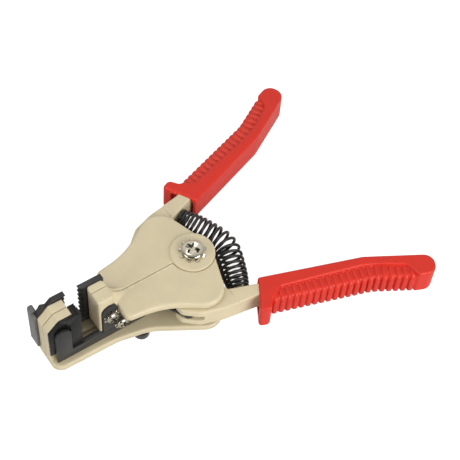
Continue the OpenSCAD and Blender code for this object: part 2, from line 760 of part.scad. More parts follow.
// Grip pad: a toothed block in the gap and a thin side plate with a recess for the rail's tab
module gripper_nose_pad() {
    floor_y = nose_half_w + pad_floor_t;
    out_y = floor_y + pad_rim_t;
    outline = [[pad_back, pad_low], [nose_front, pad_low], [nose_front, nose_slope_z],
               [nose_fold, jaw_top], [pad_back, jaw_top]];
    tooth_w = (nose_half_w - half_seam) / pad_teeth;
    color(black_steel) {
        side_plate(outline, nose_half_w, floor_y);
        difference() {
            side_plate(outline, floor_y, out_y);
            translate([0, out_y + over, 0]) rotate([90, 0, 0])
                linear_extrude(out_y + over - floor_y) union() {
                    translate([tab_back - slide_gap, pad_low - over])
                        square([nose_front, tab_top - pad_low]);
                    translate([tab_back + tab_len, tab_top - over])
                        circle(r = tab_len + slide_gap, $fn = round_fn);
                }
        }
        difference() {
            block([pad_back, half_seam, pad_low], [nose_back, nose_half_w, jaw_top]);
            for (k = [0 : pad_teeth - 1])
                translate([pad_back - over, half_seam + (k + 0.5) * tooth_w, pad_low - over])
                    linear_extrude(jaw_top)
                        polygon([[0, -tooth_w / 2], [over, -tooth_w / 2],
                                 [over + pad_tooth_depth, 0], [over, tooth_w / 2], [0, tooth_w / 2]]);
        }
    }
}

// Nose blade, its screws, and the bent wire stop outside it
nose_screw_x = nose_back + nose_screw_in;
stop_screw_x = nose_front - stop_screw_in;
stop_screw_z = stop_screw_z_share * jaw_top;
nose_screw_z_shares = [0.40, 0.80];
module nose_screw_places() {
    for (s = nose_screw_z_shares) translate([nose_screw_x, 0, s * jaw_top]) children();
}
nose_blade_out = nose_blade_in + nose_blade_t;
module cutter_nose_blade() {
    top = jaw_top + nose_blade_rise;
    wave = nose_blade_wave;
    color(black_steel) cutter_side() difference() {
        side_plate([[nose_blade_tip, blade_low], [nose_front, blade_low], [nose_front, nose_slope_z],
                    [nose_fold + wave, top - 0.5 * wave], [nose_fold, top - wave],
                    [nose_fold - wave, top], [nose_blade_tip, top]],
                   nose_blade_in, nose_blade_out);
        notch_row(nose_blade_tip, -1, nose_blade_in, nose_blade_out, nose_blade_in, 1);
        nose_screw_places() translate([0, nose_blade_in - over, 0]) rotate([-90, 0, 0])
            cylinder(h = nose_blade_t + 2 * over, r = screw_r, $fn = fine_fn);
        y_bar(stop_screw_x, stop_screw_z, screw_r, nose_blade_in - over, nose_blade_out + over);
    }
}
module nose_blade_screws() {
    color(nickel) cutter_side() {
        nose_screw_places() blade_screw_body(nose_half_w - screw_len / 2 + layer_gap, nose_blade_out);
        translate([stop_screw_x, 0, stop_screw_z])
            blade_screw_body(nose_half_w - screw_len / 2 + layer_gap, nose_blade_out + stop_t);
    }
}
module wire_stop() {
    color(black_steel) cutter_side() difference() {
        wire_stop_plate();
        y_bar(stop_screw_x, stop_screw_z, screw_r, nose_blade_out - over, nose_blade_out + stop_t + over);
    }
}
module wire_stop_plate() {
    union() {
        block([nose_front, nose_blade_in, stop_low], [nose_front + stop_t, stop_out, stop_high]);
        block([nose_screw_x + blade_screw_r + stop_leg_slack, nose_blade_out, pad_low + over],
              [nose_front + stop_t / 2, nose_blade_out + stop_t, stop_high - over]);
        translate([nose_front + stop_t - stop_curl_r, 0, stop_high])
            y_bar(0, 0, stop_curl_r, nose_blade_out, stop_out);
    }
}

// Drive plate: from the stud on the frame to the fork of the arm, with the slot for the arm's pin
function pin_at(g, travel) = [
    pin_x * cos(g) - pin_y * sin(g) + travel * g / squeeze_angle, pin_x * sin(g) + pin_y * cos(g)];
slot_steps = 4;
cap_steps = 8;
web_share = 0.85;
function cap_points(centre, way, r) = let (start = atan2(way[1], way[0]) - 90)
    [for (k = [0 : cap_steps]) let (g = start + 180 * k / cap_steps) centre + r * [cos(g), sin(g)]];
function slot_outline(travel, r) = let (
    line = [for (k = [0 : slot_steps]) pin_at(squeeze_angle * k / slot_steps, travel)],
    side = [for (k = [1 : slot_steps - 1]) left(unit(line[k + 1] - line[k - 1])) * r])
    concat(cap_points(line[slot_steps], unit(line[slot_steps] - line[slot_steps - 1]), r),
           [for (k = [slot_steps - 1 : -1 : 1]) line[k] + side[k - 1]],
           cap_points(line[0], unit(line[0] - line[1]), r),
           [for (k = [1 : slot_steps - 1]) line[k] - side[k - 1]]);
module drive_plate(travel) {
    slot_r = pin_r + pin_slack;
    stud = [stud_x, stud_y];
    first = [pin_x, pin_y];
    last = pin_at(squeeze_angle, travel);
    across = left(unit(stud - first)) * web_share;
    translate([0, 0, drive_low]) linear_extrude(drive_t) difference() {
        union() {
            polygon(slot_outline(travel, slot_r + drive_margin));
            translate(stud) circle(r = stud_spacer_r, $fn = fine_fn);
            polygon([first - across * (slot_r + drive_margin), stud - across * stud_spacer_r,
                     stud + across * stud_spacer_r, last + across * (slot_r + drive_margin), last]);
        }
        polygon(slot_outline(travel, slot_r));
        translate(stud) circle(r = stud_r, $fn = fine_fn);
    }
}
module gripper_drive_plate() {
    color(black_steel) drive_plate(grip_travel);
}
module cutter_drive_plate() {
    color(black_steel) cutter_side() drive_plate(cut_travel);
}
module drive_stud() {
    translate([stud_x, stud_y, 0]) {
        disc(stud_r, 0, drive_low + drive_t);
        disc(stud_spacer_r, frame_t, drive_low);
        disc(stud_spacer_r, drive_low + drive_t, drive_low + drive_t + stud_cap_h);
    }
}
module gripper_drive_stud() {
    color(black_steel) drive_stud();
}
module cutter_drive_stud() {
    color(black_steel) cutter_side() drive_stud();
}

// Rest knobs: round feet under the frames, each with a shank in a blind hole
module rest_knob() {
    translate([knob_x, knob_y, -knob_h]) {
        disc(knob_r, 0, knob_h);
        disc(knob_shank_r, 0, knob_h + frame_t - knob_roof);
    }
}
module gripper_rest_knob() {
    color(black_steel) rest_knob();
}
module cutter_rest_knob() {
    color(black_steel) cutter_side() rest_knob();
}

// Handle arm: a pivot lug of half the height, a fork in front, a spring seat and a tang
function of_body(shares) = scaled(shares, cover_half_w, cover_half_w);
function of_reach(shares) = scaled(shares, grip_reach, grip_reach);
arm_outline = concat(of_body(arm_front_shares), of_reach(tang_end_shares), of_body(arm_back_shares));
module arm_prism(d, low, high) {
    plate(arm_outline, arm_r, low, high, d);
}
module arm(lug_low, lug_high) {
    difference() {
        union() {
            intersection() {
                arm_prism(0, arm_low, arm_high);
                block([-tang_x, 0, arm_low - over], [grip_reach, grip_reach, arm_high + over]);
            }
            intersection() {
                arm_prism(small_bevel - layer_gap, arm_mid, arm_out_high);
                difference() {
                    block([-tang_x + over, 0, arm_low], [-arm_step_x, grip_reach, arm_out_high + over]);
                    disc(arm_step_r, arm_low, arm_out_high + over);
                }
            }
            intersection() {
                arm_prism(layer_gap, tang_low, tang_high);
                block([-grip_reach, 0, arm_low], [-tang_x + over, grip_reach, arm_high]);
            }
            disc(lug_r, lug_low + layer_gap, lug_high - layer_gap);
            spring_seat();
        }
        disc(lug_r + lug_free, lug_low > arm_low ? arm_low - over : lug_high,
             lug_low > arm_low ? lug_low : arm_high + over);
        pivot_bore(sleeve_r + pivot_clear);
        translate([0, 0, drive_low - drive_slack]) linear_extrude(drive_t + 2 * drive_slack)
            polygon(of_body(fork_cut_shares));
        translate([pin_x, pin_y, arm_low - over]) cylinder(h = arm_t + 2 * over, r = pin_r, $fn = fine_fn);
    }
}
arm_step_x = arm_step_x_share * cover_half_w;
arm_step_r = arm_step_r_share * cover_half_w;
tang_x = tang_x_share * cover_half_w;
tang_low = arm_low + tang_step_low;
tang_high = arm_high - tang_step_high;
module spring_seat() {
    translate(line_point(spring_half_len)) rotate([0, 0, -spring_half_angle]) rotate([-90, 0, 0]) {
        cylinder(h = seat_len, r = seat_r, $fn = fine_fn);
        translate([0, 0, -spigot_len]) cylinder(h = spigot_len + seat_len, r = spigot_r, $fn = fine_fn);
    }
}
module gripper_handle_arm() {
    color(cream_paint) arm(arm_low, arm_mid - layer_gap / 2);
}
module cutter_handle_arm() {
    color(cream_paint) cutter_side() arm(arm_mid + layer_gap / 2, arm_high);
}
module drive_pin() {
    translate([pin_x, pin_y, arm_low]) cylinder(h = arm_t, r = pin_r, $fn = fine_fn);
}
module gripper_drive_pin() {
    color(nickel) drive_pin();
}
module cutter_drive_pin() {
    color(nickel) cutter_side() drive_pin();
}

// Grip: a moulded handle with a guard, a recessed band of ribs and a socket for the arm
grip_outline = concat(of_reach(grip_tail_shares), of_body(grip_mouth_shares), of_reach(grip_outer_shares));
rib_line = concat([rib_start_share * cover_half_w], of_reach(rib_line_shares));
rib_len_a = norm(rib_line[1] - rib_line[0]);
rib_len_b = norm(rib_line[2] - rib_line[1]);
function rib_place(u) = let (s = u * (rib_len_a + rib_len_b))
    s < rib_len_a ? rib_line[0] + (rib_line[1] - rib_line[0]) * s / rib_len_a
    : rib_line[1] + (rib_line[2] - rib_line[1]) * (s - rib_len_a) / rib_len_b;
module rib_zone(low, high) {
    translate([0, 0, low]) linear_extrude(high - low)
        polygon(concat(of_reach(rib_zone_tail_shares), of_body(rib_zone_mouth_shares)));
}
module grip() {
    difference() {
        union() {
            difference() {
                plate(grip_outline, grip_r, grip_low, grip_high);
                rib_zone(grip_high - rib_recess, grip_high + over);
                rib_zone(grip_low - over, grip_low + rib_recess);
            }
            for (k = [0 : rib_count - 1]) {
                p = rib_place(k / (rib_count - 1));
                translate([p[0], p[1], grip_low + rib_recess + rib_sink])
                    cylinder(h = grip_t - 2 * (rib_recess + rib_sink), r = rib_r, $fn = fine_fn);
            }
        }
        arm_prism(-tang_slack, tang_low - tang_slack, tang_high + tang_slack);
        intersection() {
            arm_prism(-2 * tang_slack, arm_low - tang_slack, arm_out_high + tang_slack);
            block([-tang_x - tang_slack, 0, 0], [0, grip_reach, cover_top]);
        }
        translate([0, 0, grip_low + grip_wall]) linear_extrude(grip_t - 2 * grip_wall)
            polygon(of_body(socket_shares));
    }
}
module gripper_grip() {
    color(red_plastic) grip();
}
module cutter_grip() {
    color(red_plastic) cutter_side() grip();
}

echo(main_spring_least_gap = least_gap(coil_path, ring_count - 2, spring_wire));
echo(closing_spring_least_gap = least_gap(concat(close_coil, close_half), ring_count - 2, close_wire));

pivot_bolt();
pivot_star_washer();
pivot_sleeve_nut();
main_spring();
closing_spring();
gripper_cover();
gripper_rail();
gripper_rail_screws();
gripper_rail_washers();
cutter_cover();
cutter_rail();
cutter_rail_screw();
cutter_rail_washer();
cutter_jaw_blade();
cutter_blade_screws();
gripper_frame();
gripper_nose_pad();
gripper_drive_plate();
gripper_drive_stud();
cutter_frame();
cutter_nose_blade();
nose_blade_screws();
wire_stop();
cutter_drive_plate();
cutter_drive_stud();
gripper_rest_knob();
cutter_rest_knob();
gripper_handle_arm();
gripper_drive_pin();
gripper_grip();
cutter_handle_arm();
cutter_drive_pin();
cutter_grip();
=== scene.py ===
"""Looks of the automatic wire stripper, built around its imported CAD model.

Sizes are in millimetres in the CAD frame (X to the nose, Y to the gripper half, Z up the
pivot) and become metres when a mesh is made.
"""

import logging
import math
from contextlib import contextmanager
from dataclasses import dataclass, field
from enum import Enum
from typing import Iterable, Iterator, Sequence

import bmesh
import bpy
from bpy.types import ID, Material, Mesh, MeshPolygon, Node, NodeTree, Object
from mathutils import Matrix, Vector


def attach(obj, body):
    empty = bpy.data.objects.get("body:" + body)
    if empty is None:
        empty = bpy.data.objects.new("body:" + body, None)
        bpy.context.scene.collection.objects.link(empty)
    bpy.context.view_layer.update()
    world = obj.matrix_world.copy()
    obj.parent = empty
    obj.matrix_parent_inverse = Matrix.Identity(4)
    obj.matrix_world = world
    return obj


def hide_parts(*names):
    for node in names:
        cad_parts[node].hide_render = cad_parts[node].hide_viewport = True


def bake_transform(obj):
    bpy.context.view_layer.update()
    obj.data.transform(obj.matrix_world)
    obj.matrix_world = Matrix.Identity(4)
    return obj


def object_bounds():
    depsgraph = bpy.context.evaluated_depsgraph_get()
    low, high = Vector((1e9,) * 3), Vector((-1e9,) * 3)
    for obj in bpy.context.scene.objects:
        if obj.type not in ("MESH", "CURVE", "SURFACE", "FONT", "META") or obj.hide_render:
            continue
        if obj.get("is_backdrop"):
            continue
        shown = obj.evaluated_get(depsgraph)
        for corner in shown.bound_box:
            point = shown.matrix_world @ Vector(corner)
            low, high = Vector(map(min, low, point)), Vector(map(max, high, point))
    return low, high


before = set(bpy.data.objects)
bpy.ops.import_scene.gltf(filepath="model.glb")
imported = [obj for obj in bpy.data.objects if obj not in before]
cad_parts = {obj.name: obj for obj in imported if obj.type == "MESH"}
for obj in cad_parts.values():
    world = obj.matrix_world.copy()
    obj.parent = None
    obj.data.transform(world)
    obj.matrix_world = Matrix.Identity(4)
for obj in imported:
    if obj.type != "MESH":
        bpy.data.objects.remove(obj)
CAD_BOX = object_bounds()

log = logging.getLogger("wire_stripper")
QUARTER = math.pi / 2
MM = 0.001
# A distance past every part of the tool
FAR = 100.0
Point2 = tuple[float, float]
Point3 = tuple[float, float, float]
Corner = tuple[float, float, float]
Color = tuple[float, float, float]
Loop = list[Point3]
TreeEnds = tuple[NodeTree, Node, Node]


class Side(Enum):
    """Which half of the tool a piece belongs to; the value mirrors Y."""

    GRIPPER = 1
    CUTTER = -1

    @property
    def word(self) -> str:
        """The word that starts this half's node names."""
        return self.name.lower()

    @property
    def half(self) -> str:
        """The body that holds this half's cover."""
        return f"{self.word}_half"

    @property
    def slide(self) -> str:
        """The body of this half's sliding nose."""
        return f"{self.word}_slide"

    @property
    def handle(self) -> str:
        """The body of this half's handle."""
        return f"{self.word}_handle"


# Outlines
def turned(x: float, y: float, g: float) -> Point2:
    """A point turned about the origin by an angle in radians."""
    return x * math.cos(g) - y * math.sin(g), x * math.sin(g) + y * math.cos(g)


def arc(x: float, y: float, r: float, first: float, last: float, steps: int) -> list[Point2]:
    """Points along an arc.

    Args:
        x: its centre.
        y: its centre.
        r: its radius.
        first: angle of its first point in radians.
        last: angle of its last point in radians.
        steps: its segments.

    Returns:
        The points with both ends.
    """
    angles = [first + (last - first) * k / steps for k in range(steps + 1)]
    return [(x + r * math.cos(g), y + r * math.sin(g)) for g in angles]


def disc_outline(x: float, y: float, r: float, steps: int) -> list[Point2]:
    """A circle as an outline."""
    return arc(x, y, r, 0.0, 2 * math.pi, steps)[:-1]


def inset(points: Sequence[Point2], d: float) -> list[Point2]:
    """Moves a counter-clockwise outline's edges inwards.

    Args:
        points: the outline's corners.
        d: distance to move inwards, negative for outwards.

    Returns:
        The moved corners.
    """
    moved = []
    n = len(points)
    straight = 1e-4
    for i in range(n):
        a, b, c = (Vector(points[k % n]) for k in (i - 1, i, i + 1))
        u, v = (b - a).normalized(), (c - b).normalized()
        turn = u.cross(v)
        p = b + Vector((-u.y, u.x)) * d
        if abs(turn) > straight:
            q = b + Vector((-v.y, v.x)) * d
            p = p + u * ((q - p).cross(v) / turn)
        moved.append((p.x, p.y))
    return moved


def rounded(corners: Sequence[Corner], d: float, steps: int = 10) -> list[Point2]:
    """Rounds the corners of an outline that is moved inwards by d.

    Args:
        corners: X, Y and radius of each corner, counter-clockwise, with 0 for a sharp one.
        d: distance to move inwards.
        steps: segments in each corner.

    Returns:
        The rounded outline, with the same number of points for every d.
    """
    smallest_r = 0.02
    points = [(x, y) for x, y, _ in corners]
    points = inset(points, d) if d else points
    n = len(points)
    result: list[Point2] = []
    for i, (_, _, radius) in enumerate(corners):
        a, b, c = (Vector(points[k % n]) for k in (i - 1, i, i + 1))
        way = -1 if (b - a).cross(c - b) > 0 else 1
        r = radius + way * d
        if radius == 0 or r <= smallest_r:
            result.extend([(b.x, b.y)] * (steps + 1 if radius else 1))
            continue
        u, v = (a - b).normalized(), (c - b).normalized()
        half = math.acos(max(-1.0, min(1.0, u.dot(v)))) / 2
        centre = b + (u + v).normalized() * r / math.sin(half)
        spoke = b + u * r / math.tan(half) - centre
        sweep = (math.pi - 2 * half) * -way
        for k in range(steps + 1):
            dx, dy = turned(spoke.x, spoke.y, sweep * k / steps)
            result.append((centre.x + dx, centre.y + dy))
    return result


# Meshes
def add_object(name: str, data: ID) -> Object:
    """Puts a new object into the scene, at the origin.

    Args:
        name: its name.
        data: its mesh, lamp or camera.

    Returns:
        The object.
    """
    obj = bpy.data.objects.new(name, data)
    bpy.context.scene.collection.objects.link(obj)
    return obj


@contextmanager
def edited(mesh: Mesh) -> Iterator[bmesh.types.BMesh]:
    """Opens a mesh for an edit and writes the edit back.

    Args:
        mesh: the mesh.

    Yields:
        The open mesh.
    """
    bm = bmesh.new()
    bm.from_mesh(mesh)
    yield bm
    bm.to_mesh(mesh)
    bm.free()


def object_from(name: str, verts: Iterable[Point3], faces: Iterable[Sequence[int]]) -> Object:
    """Makes a closed mesh at the origin.

    Args:
        name: the object's name.
        verts: its points in millimetres.
        faces: its faces.

    Returns:
        The new object, its faces pointing outwards.
    """
    mesh = bpy.data.meshes.new(name)
    mesh.from_pydata([(x * MM, y * MM, z * MM) for x, y, z in verts], [], list(faces))
    with edited(mesh) as bm:
        bmesh.ops.remove_doubles(bm, verts=bm.verts, dist=1e-7)
        bmesh.ops.recalc_face_normals(bm, faces=bm.faces)
    return add_object(name, mesh)


def stacked(name: str, loops: Sequence[Loop], ring: bool = False) -> Object:
    """Makes a solid from loops with equal point counts.

    Args:
        name: the object's name.
        loops: the solid's sections in order.
        ring: whether the last loop joins the first, where both are capped otherwise.

    Returns:
        The solid.
    """
    n, count = len(loops[0]), len(loops)
    faces: list[Sequence[int]] = []
    if not ring:
        faces += [list(range(n))[::-1], [(count - 1) * n + i for i in range(n)]]
    for j in range(count if ring else count - 1):
        after = (j + 1) % count
        for i in range(n):
            k = (i + 1) % n
            faces.append((j * n + i, j * n + k, after * n + k, after * n + i))
    return object_from(name, [point for loop in loops for point in loop], faces)


def edge_profile(span: Point2, rims: Point2, steps: int = 4) -> list[Point2]:
    """Works out a plate's edge, whose rims are quarter circles.

    Args:
        span: heights of the plate's underside and top.
        rims: radii of its lower and upper rim.
        steps: segments in each rim.

    Returns:
        Pairs of an inset and a height.
    """
    (low, high), (r_low, r_high) = span, rims
    lower = arc(r_low, low + r_low, r_low, -QUARTER, -math.pi, steps)
    return lower + arc(r_high, high - r_high, r_high, math.pi, QUARTER, steps)


def plate(name: str, side: Side, corners: Sequence[Corner], span: Point2, rims: Point2) -> Object:
    """Makes a plate with round corners and rounded rims.

    Args:
        name: the object's name.
        side: the half it belongs to.
        corners: X, Y and radius of each corner, drawn on the gripper side.
        span: heights of its underside and top.
        rims: radii of its lower and upper rim.

    Returns:
        The plate.
    """
    pairs = edge_profile(span, rims)
    return stacked(name, [[(x, y * side.value, z) for x, y in rounded(corners, d)] for d, z in pairs])


def disc(name: str, side: Side, r: float, span: Point2, rims: Point2, steps: int = 72) -> Object:
    """A round plate on the pivot."""
    return plate(name, side, [(x, y, 0.0) for x, y in disc_outline(0, 0, r, steps)], span, rims)


def prism(name: str, side: Side, points: Sequence[Point2], span: Point2) -> Object:
    """A plain upright prism between two heights."""
    return stacked(name, [[(x, y * side.value, z) for x, y in points] for z in span])


def side_prism(name: str, side: Side, points: Sequence[Point2], span: Point2) -> Object:
    """A prism drawn from the side: outline in X and Z, thickness along Y."""
    return stacked(name, [[(x, y * side.value, z) for x, z in points] for y in span])


def block(name: str, side: Side, low: Point3, high: Point3) -> Object:
    """A block between two corners."""
    outline = [(low[0], low[1]), (high[0], low[1]), (high[0], high[1]), (low[0], high[1])]
    return prism(name, side, outline, (low[2], high[2]))


def past_seam(side: Side, seam: float) -> Object:
    """All the room on the other half's side of the seam, as a cutter."""
    return block("past_seam", side, (-FAR, -FAR, -FAR), (FAR, seam, FAR))


def evaluated(obj: Object) -> Object:
    """Replaces an object by a plain mesh of what its modifiers make.

    Args:
        obj: the object; it is used up.

    Returns:
        The new object, under the same name.
    """
    graph = bpy.context.evaluated_depsgraph_get()
    mesh = bpy.data.meshes.new_from_object(obj.evaluated_get(graph), depsgraph=graph)
    name = obj.name
    bpy.data.objects.remove(obj)
    mesh.name = name
    return add_object(name, mesh)


def joined(name: str, parts: Sequence[Object]) -> Object:
    """Puts several meshes into one object without fusing them.

    Args:
        name: the object's name.
        parts: the meshes' objects; they are used up.

    Returns:
        The joined object.
    """
    mesh = bpy.data.meshes.new(name)
    with edited(mesh) as bm:
        for part in parts:
            bm.from_mesh(part.data)
            bpy.data.objects.remove(part)
    return add_object(name, mesh)


def carved(obj: Object, cutters: Sequence[Object]) -> Object:
    """Cuts solids out of an object.

    Args:
        obj: the object to cut, of closed shells that may overlap.
        cutters: the solids to take away; they are used up.

    Returns:
        The cut object.
    """
    for cutter in cutters:
        cut = obj.modifiers.new("cut", "BOOLEAN")
        cut.operation = "DIFFERENCE"
        cut.solver = "EXACT"
        cut.use_self = True
        cut.object = cutter
    result = evaluated(obj)
    for cutter in cutters:
        bpy.data.objects.remove(cutter)
    return result


def cast(obj: Object, voxel: float, soften: int, keep: float) -> Object:
    """Fuses overlapping shells into one skin with the soft edges of a casting.

    Args:
        obj: overlapping closed shells; it is used up.
        voxel: grid size in millimetres.
        soften: smoothing passes.
        keep: share of the faces that is kept.

    Returns:
        The fused object.
    """
    fuse = obj.modifiers.new("fuse", "REMESH")
    fuse.mode = "VOXEL"
    fuse.voxel_size = voxel * MM
    smooth = obj.modifiers.new("soften", "SMOOTH")
    smooth.factor = 0.5
    smooth.iterations = soften
    obj.modifiers.new("thin", "DECIMATE").ratio = keep
    result = evaluated(obj)
    shade_smooth(result)
    return result


def softened(node: str, width: float, segments: int = 2) -> Object:
    """Copies a CAD node and rounds its edges.

    Args:
        node: the CAD node to copy.
        width: width of the rounding in millimetres.
        segments: steps across the rounding.

    Returns:
        The copy.
    """
    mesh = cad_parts[node].data.copy()
    flat, sharp = math.radians(1.5), math.radians(35)
    with edited(mesh) as bm:
        bmesh.ops.remove_doubles(bm, verts=bm.verts, dist=2e-7)
        bmesh.ops.dissolve_limit(bm, angle_limit=flat, verts=bm.verts, edges=bm.edges)
    obj = add_object(f"{node}_look", mesh)
    bevel = obj.modifiers.new("round", "BEVEL")
    bevel.width = width * MM
    bevel.segments = segments
    bevel.limit_method = "ANGLE"
    bevel.angle_limit = sharp
    obj = evaluated(obj)
    shade_by_angle(obj, degrees=40)
    return obj


def shade_smooth(obj: Object) -> None:
    """Smooths the shading of all faces."""
    obj.data.polygons.foreach_set("use_smooth", [True] * len(obj.data.polygons))


def shade_by_angle(obj: Object, degrees: float) -> None:
    """Smooths shading except across edges sharper than an angle.

    Args:
        obj: the object.
        degrees: the angle.
    """
    shade_smooth(obj)
    limit = math.radians(degrees)
    with edited(obj.data) as bm:
        for edge in bm.edges:
            edge.smooth = len(edge.link_faces) == 2 and edge.calc_face_angle(0.0) < limit


def placed(obj: Object, matrix: Matrix) -> Object:
    """Bakes a placing into a mesh.

    Args:
        obj: the object.
        matrix: the placing, in millimetres.

    Returns:
        The same object.
    """
    scale = Matrix.Scale(MM, 4)
    obj.data.transform(scale @ matrix @ scale.inverted())
    return obj


# Node trees
def node_group(name: str, kind: str, inputs: dict[str, str], output: str, output_kind: str) -> TreeEnds:
    """Makes a node group with its two ends.

    Args:
        name: the group's name.
        kind: the group's type.
        inputs: types of its inputs by name.
        output: name of its output.
        output_kind: type of its output.

    Returns:
        The group, the node with its inputs and the node with its output.
    """
    tree = bpy.data.node_groups.new(name, kind)
    for label, socket in inputs.items():
        tree.interface.new_socket(label, in_out="INPUT", socket_type=socket)
    tree.interface.new_socket(output, in_out="OUTPUT", socket_type=output_kind)
    return tree, tree.nodes.new("NodeGroupInput"), tree.nodes.new("NodeGroupOutput")


def set_inputs(node: Node, values: dict[str | int, object]) -> Node:
    """Sets a node's inputs.

    Args:
        node: the node.
        values: values by the input's name or number.

    Returns:
        The same node.
    """
    for label, value in values.items():
        node.inputs[label].default_value = value
    return node


def color_mix(tree: NodeTree, values: dict[str | int, object], blend_type: str = "MIX") -> Node:
    """Adds a node that mixes colours.

    Args:
        tree: the tree.
        values: values of its inputs by name.
        blend_type: how it mixes.

    Returns:
        The node.
    """
    mix = tree.nodes.new("ShaderNodeMix")
    mix.data_type = "RGBA"
    mix.blend_type = blend_type
    return set_inputs(mix, values)


def link(tree: NodeTree, *rows: tuple[Node, str | int, Node, str | int]) -> None:
    """Links nodes; a row holds a node, its output, the next node and its input."""
    for source, output, target, entry in rows:
        tree.links.new(source.outputs[output], target.inputs[entry])


def geometry_tree(name: str, inputs: dict[str, str]) -> TreeEnds:
    """Makes a Geometry Nodes tree that starts with a line.

    Args:
        name: the tree's name.
        inputs: types of its sizes by name.

    Returns:
        The tree, the node with its inputs and the node with its output.
    """
    shape = "NodeSocketGeometry"
    return node_group(name, "GeometryNodeTree", {"Geometry": shape, **inputs}, "Geometry", shape)


def end_tree(tree: NodeTree, last: Node, output: str, material: Material, out: Node) -> None:
    """Ends a Geometry Nodes tree with real meshes in one material.

    Args:
        tree: the tree.
        last: the node that makes the shape.
        output: that node's output.
        material: what the shape is dressed in.
        out: the tree's output node.
    """
    real = tree.nodes.new("GeometryNodeRealizeInstances")
    dress = set_inputs(tree.nodes.new("GeometryNodeSetMaterial"), {"Material": material})
    link(
        tree,
        (last, output, real, "Geometry"),
        (real, "Geometry", dress, "Geometry"),
        (dress, "Geometry", out, "Geometry"),
    )


def run_tree(
    name: str, points: Sequence[Point3], closed: bool, tree: NodeTree, sizes: dict[str, float]
) -> Object:
    """Runs a Geometry Nodes tree on a line.

    Args:
        name: the result's name.
        points: the line's points in millimetres.
        closed: whether the line runs back to its start.
        tree: the tree.
        sizes: values of the tree's sizes by name.

    Returns:
        What the tree makes, as a plain mesh.
    """
    n = len(points)
    edges = [(i, (i + 1) % n) for i in range(n if closed else n - 1)]
    mesh = bpy.data.meshes.new(name)
    mesh.from_pydata([(x * MM, y * MM, z * MM) for x, y, z in points], edges, [])
    line = add_object(name, mesh)
    modifier = line.modifiers.new(name, "NODES")
    modifier.node_group = tree
    for item in tree.interface.items_tree:
        if item.in_out == "INPUT" and item.name in sizes:
            modifier[item.identifier] = sizes[item.name]
    return evaluated(line)


def row_tree(name: str, shape: Object, material: Material) -> NodeTree:
    """Makes a Geometry Nodes tree that sets copies of a shape along a line.

    Args:
        name: the tree's name.
        shape: the shape to repeat.
        material: what the copies are dressed in.

    Returns:
        The tree, with the sizes Count and Across.
    """
    sizes = {"Count": "NodeSocketInt", "Across": "NodeSocketFloat"}
    tree, into, out = geometry_tree(name, sizes)
    curve = tree.nodes.new("GeometryNodeMeshToCurve")
    even = tree.nodes.new("GeometryNodeResampleCurve")
    copies = tree.nodes.new("GeometryNodeInstanceOnPoints")
    source = set_inputs(tree.nodes.new("GeometryNodeObjectInfo"), {"Object": shape})
    tangent = tree.nodes.new("GeometryNodeInputTangent")
    align = tree.nodes.new("FunctionNodeAlignRotationToVector")
    align.axis = "X"
    align.pivot_axis = "Z"
    scale = set_inputs(tree.nodes.new("ShaderNodeCombineXYZ"), {"X": 1.0, "Z": 1.0})
    link(
        tree,
        (into, "Geometry", curve, "Mesh"),
        (curve, "Curve", even, "Curve"),
        (into, "Count", even, "Count"),
        (even, "Curve", copies, "Points"),
        (source, "Geometry", copies, "Instance"),
        (tangent, "Tangent", align, "Vector"),
        (align, "Rotation", copies, "Rotation"),
        (into, "Across", scale, "Y"),
        (scale, "Vector", copies, "Scale"),
    )
    end_tree(tree, copies, "Instances", material, out)
    return tree


def repeated(
    name: str,
    shape: Object,
    line: Sequence[Point2],
    count: int,
    material: Material,
    mirrored: bool,
    closed: bool = False,
) -> Object:
    """Sets copies of a shape along a line with Geometry Nodes.

    Args:
        name: the result's name.
        shape: the shape, its X along the line and its Y out of it; it is used up.
        line: the line's corners in millimetres.
        count: how many copies.
        material: what the copies are dressed in.
        mirrored: whether the shape's Y lies to the other hand of the line.
        closed: whether the line runs back to its start.

    Returns:
        One mesh of all copies.
    """
    tree = row_tree(f"{name}_row", shape, material)
    sizes = {"Count": count, "Across": -1.0 if mirrored else 1.0}
    made = run_tree(name, [(x, y, 0.0) for x, y in line], closed, tree, sizes)
    bpy.data.objects.remove(shape)
    made.data.polygons.foreach_set("material_index", [0] * len(made.data.polygons))
    shade_by_angle(made, degrees=50)
    return made


def wire_mesh(
    name: str, path: Sequence[Point3], radius: float, material: Material, sides: int = 12
) -> Object:
    """Sweeps a round wire along a path with Geometry Nodes.

    Args:
        name: the object's name.
        path: the wire's centre line in millimetres.
        radius: the wire's radius in millimetres.
        material: what it is dressed in.
        sides: faces round the wire.

    Returns:
        The wire as a plain mesh.
    """
    tree, into, out = geometry_tree(f"{name}_sweep", {"Wire Radius": "NodeSocketFloat"})
    curve = tree.nodes.new("GeometryNodeMeshToCurve")
    section = set_inputs(tree.nodes.new("GeometryNodeCurvePrimitiveCircle"), {"Resolution": sides})
    sweep = set_inputs(tree.nodes.new("GeometryNodeCurveToMesh"), {"Fill Caps": True})
    link(
        tree,
        (into, "Geometry", curve, "Mesh"),
        (into, "Wire Radius", section, "Radius"),
        (curve, "Curve", sweep, "Curve"),
        (section, "Curve", sweep, "Profile Curve"),
    )
    end_tree(tree, sweep, "Mesh", material, out)
    made = run_tree(name, path, False, tree, {"Wire Radius": radius * MM})
    shade_smooth(made)
    return made


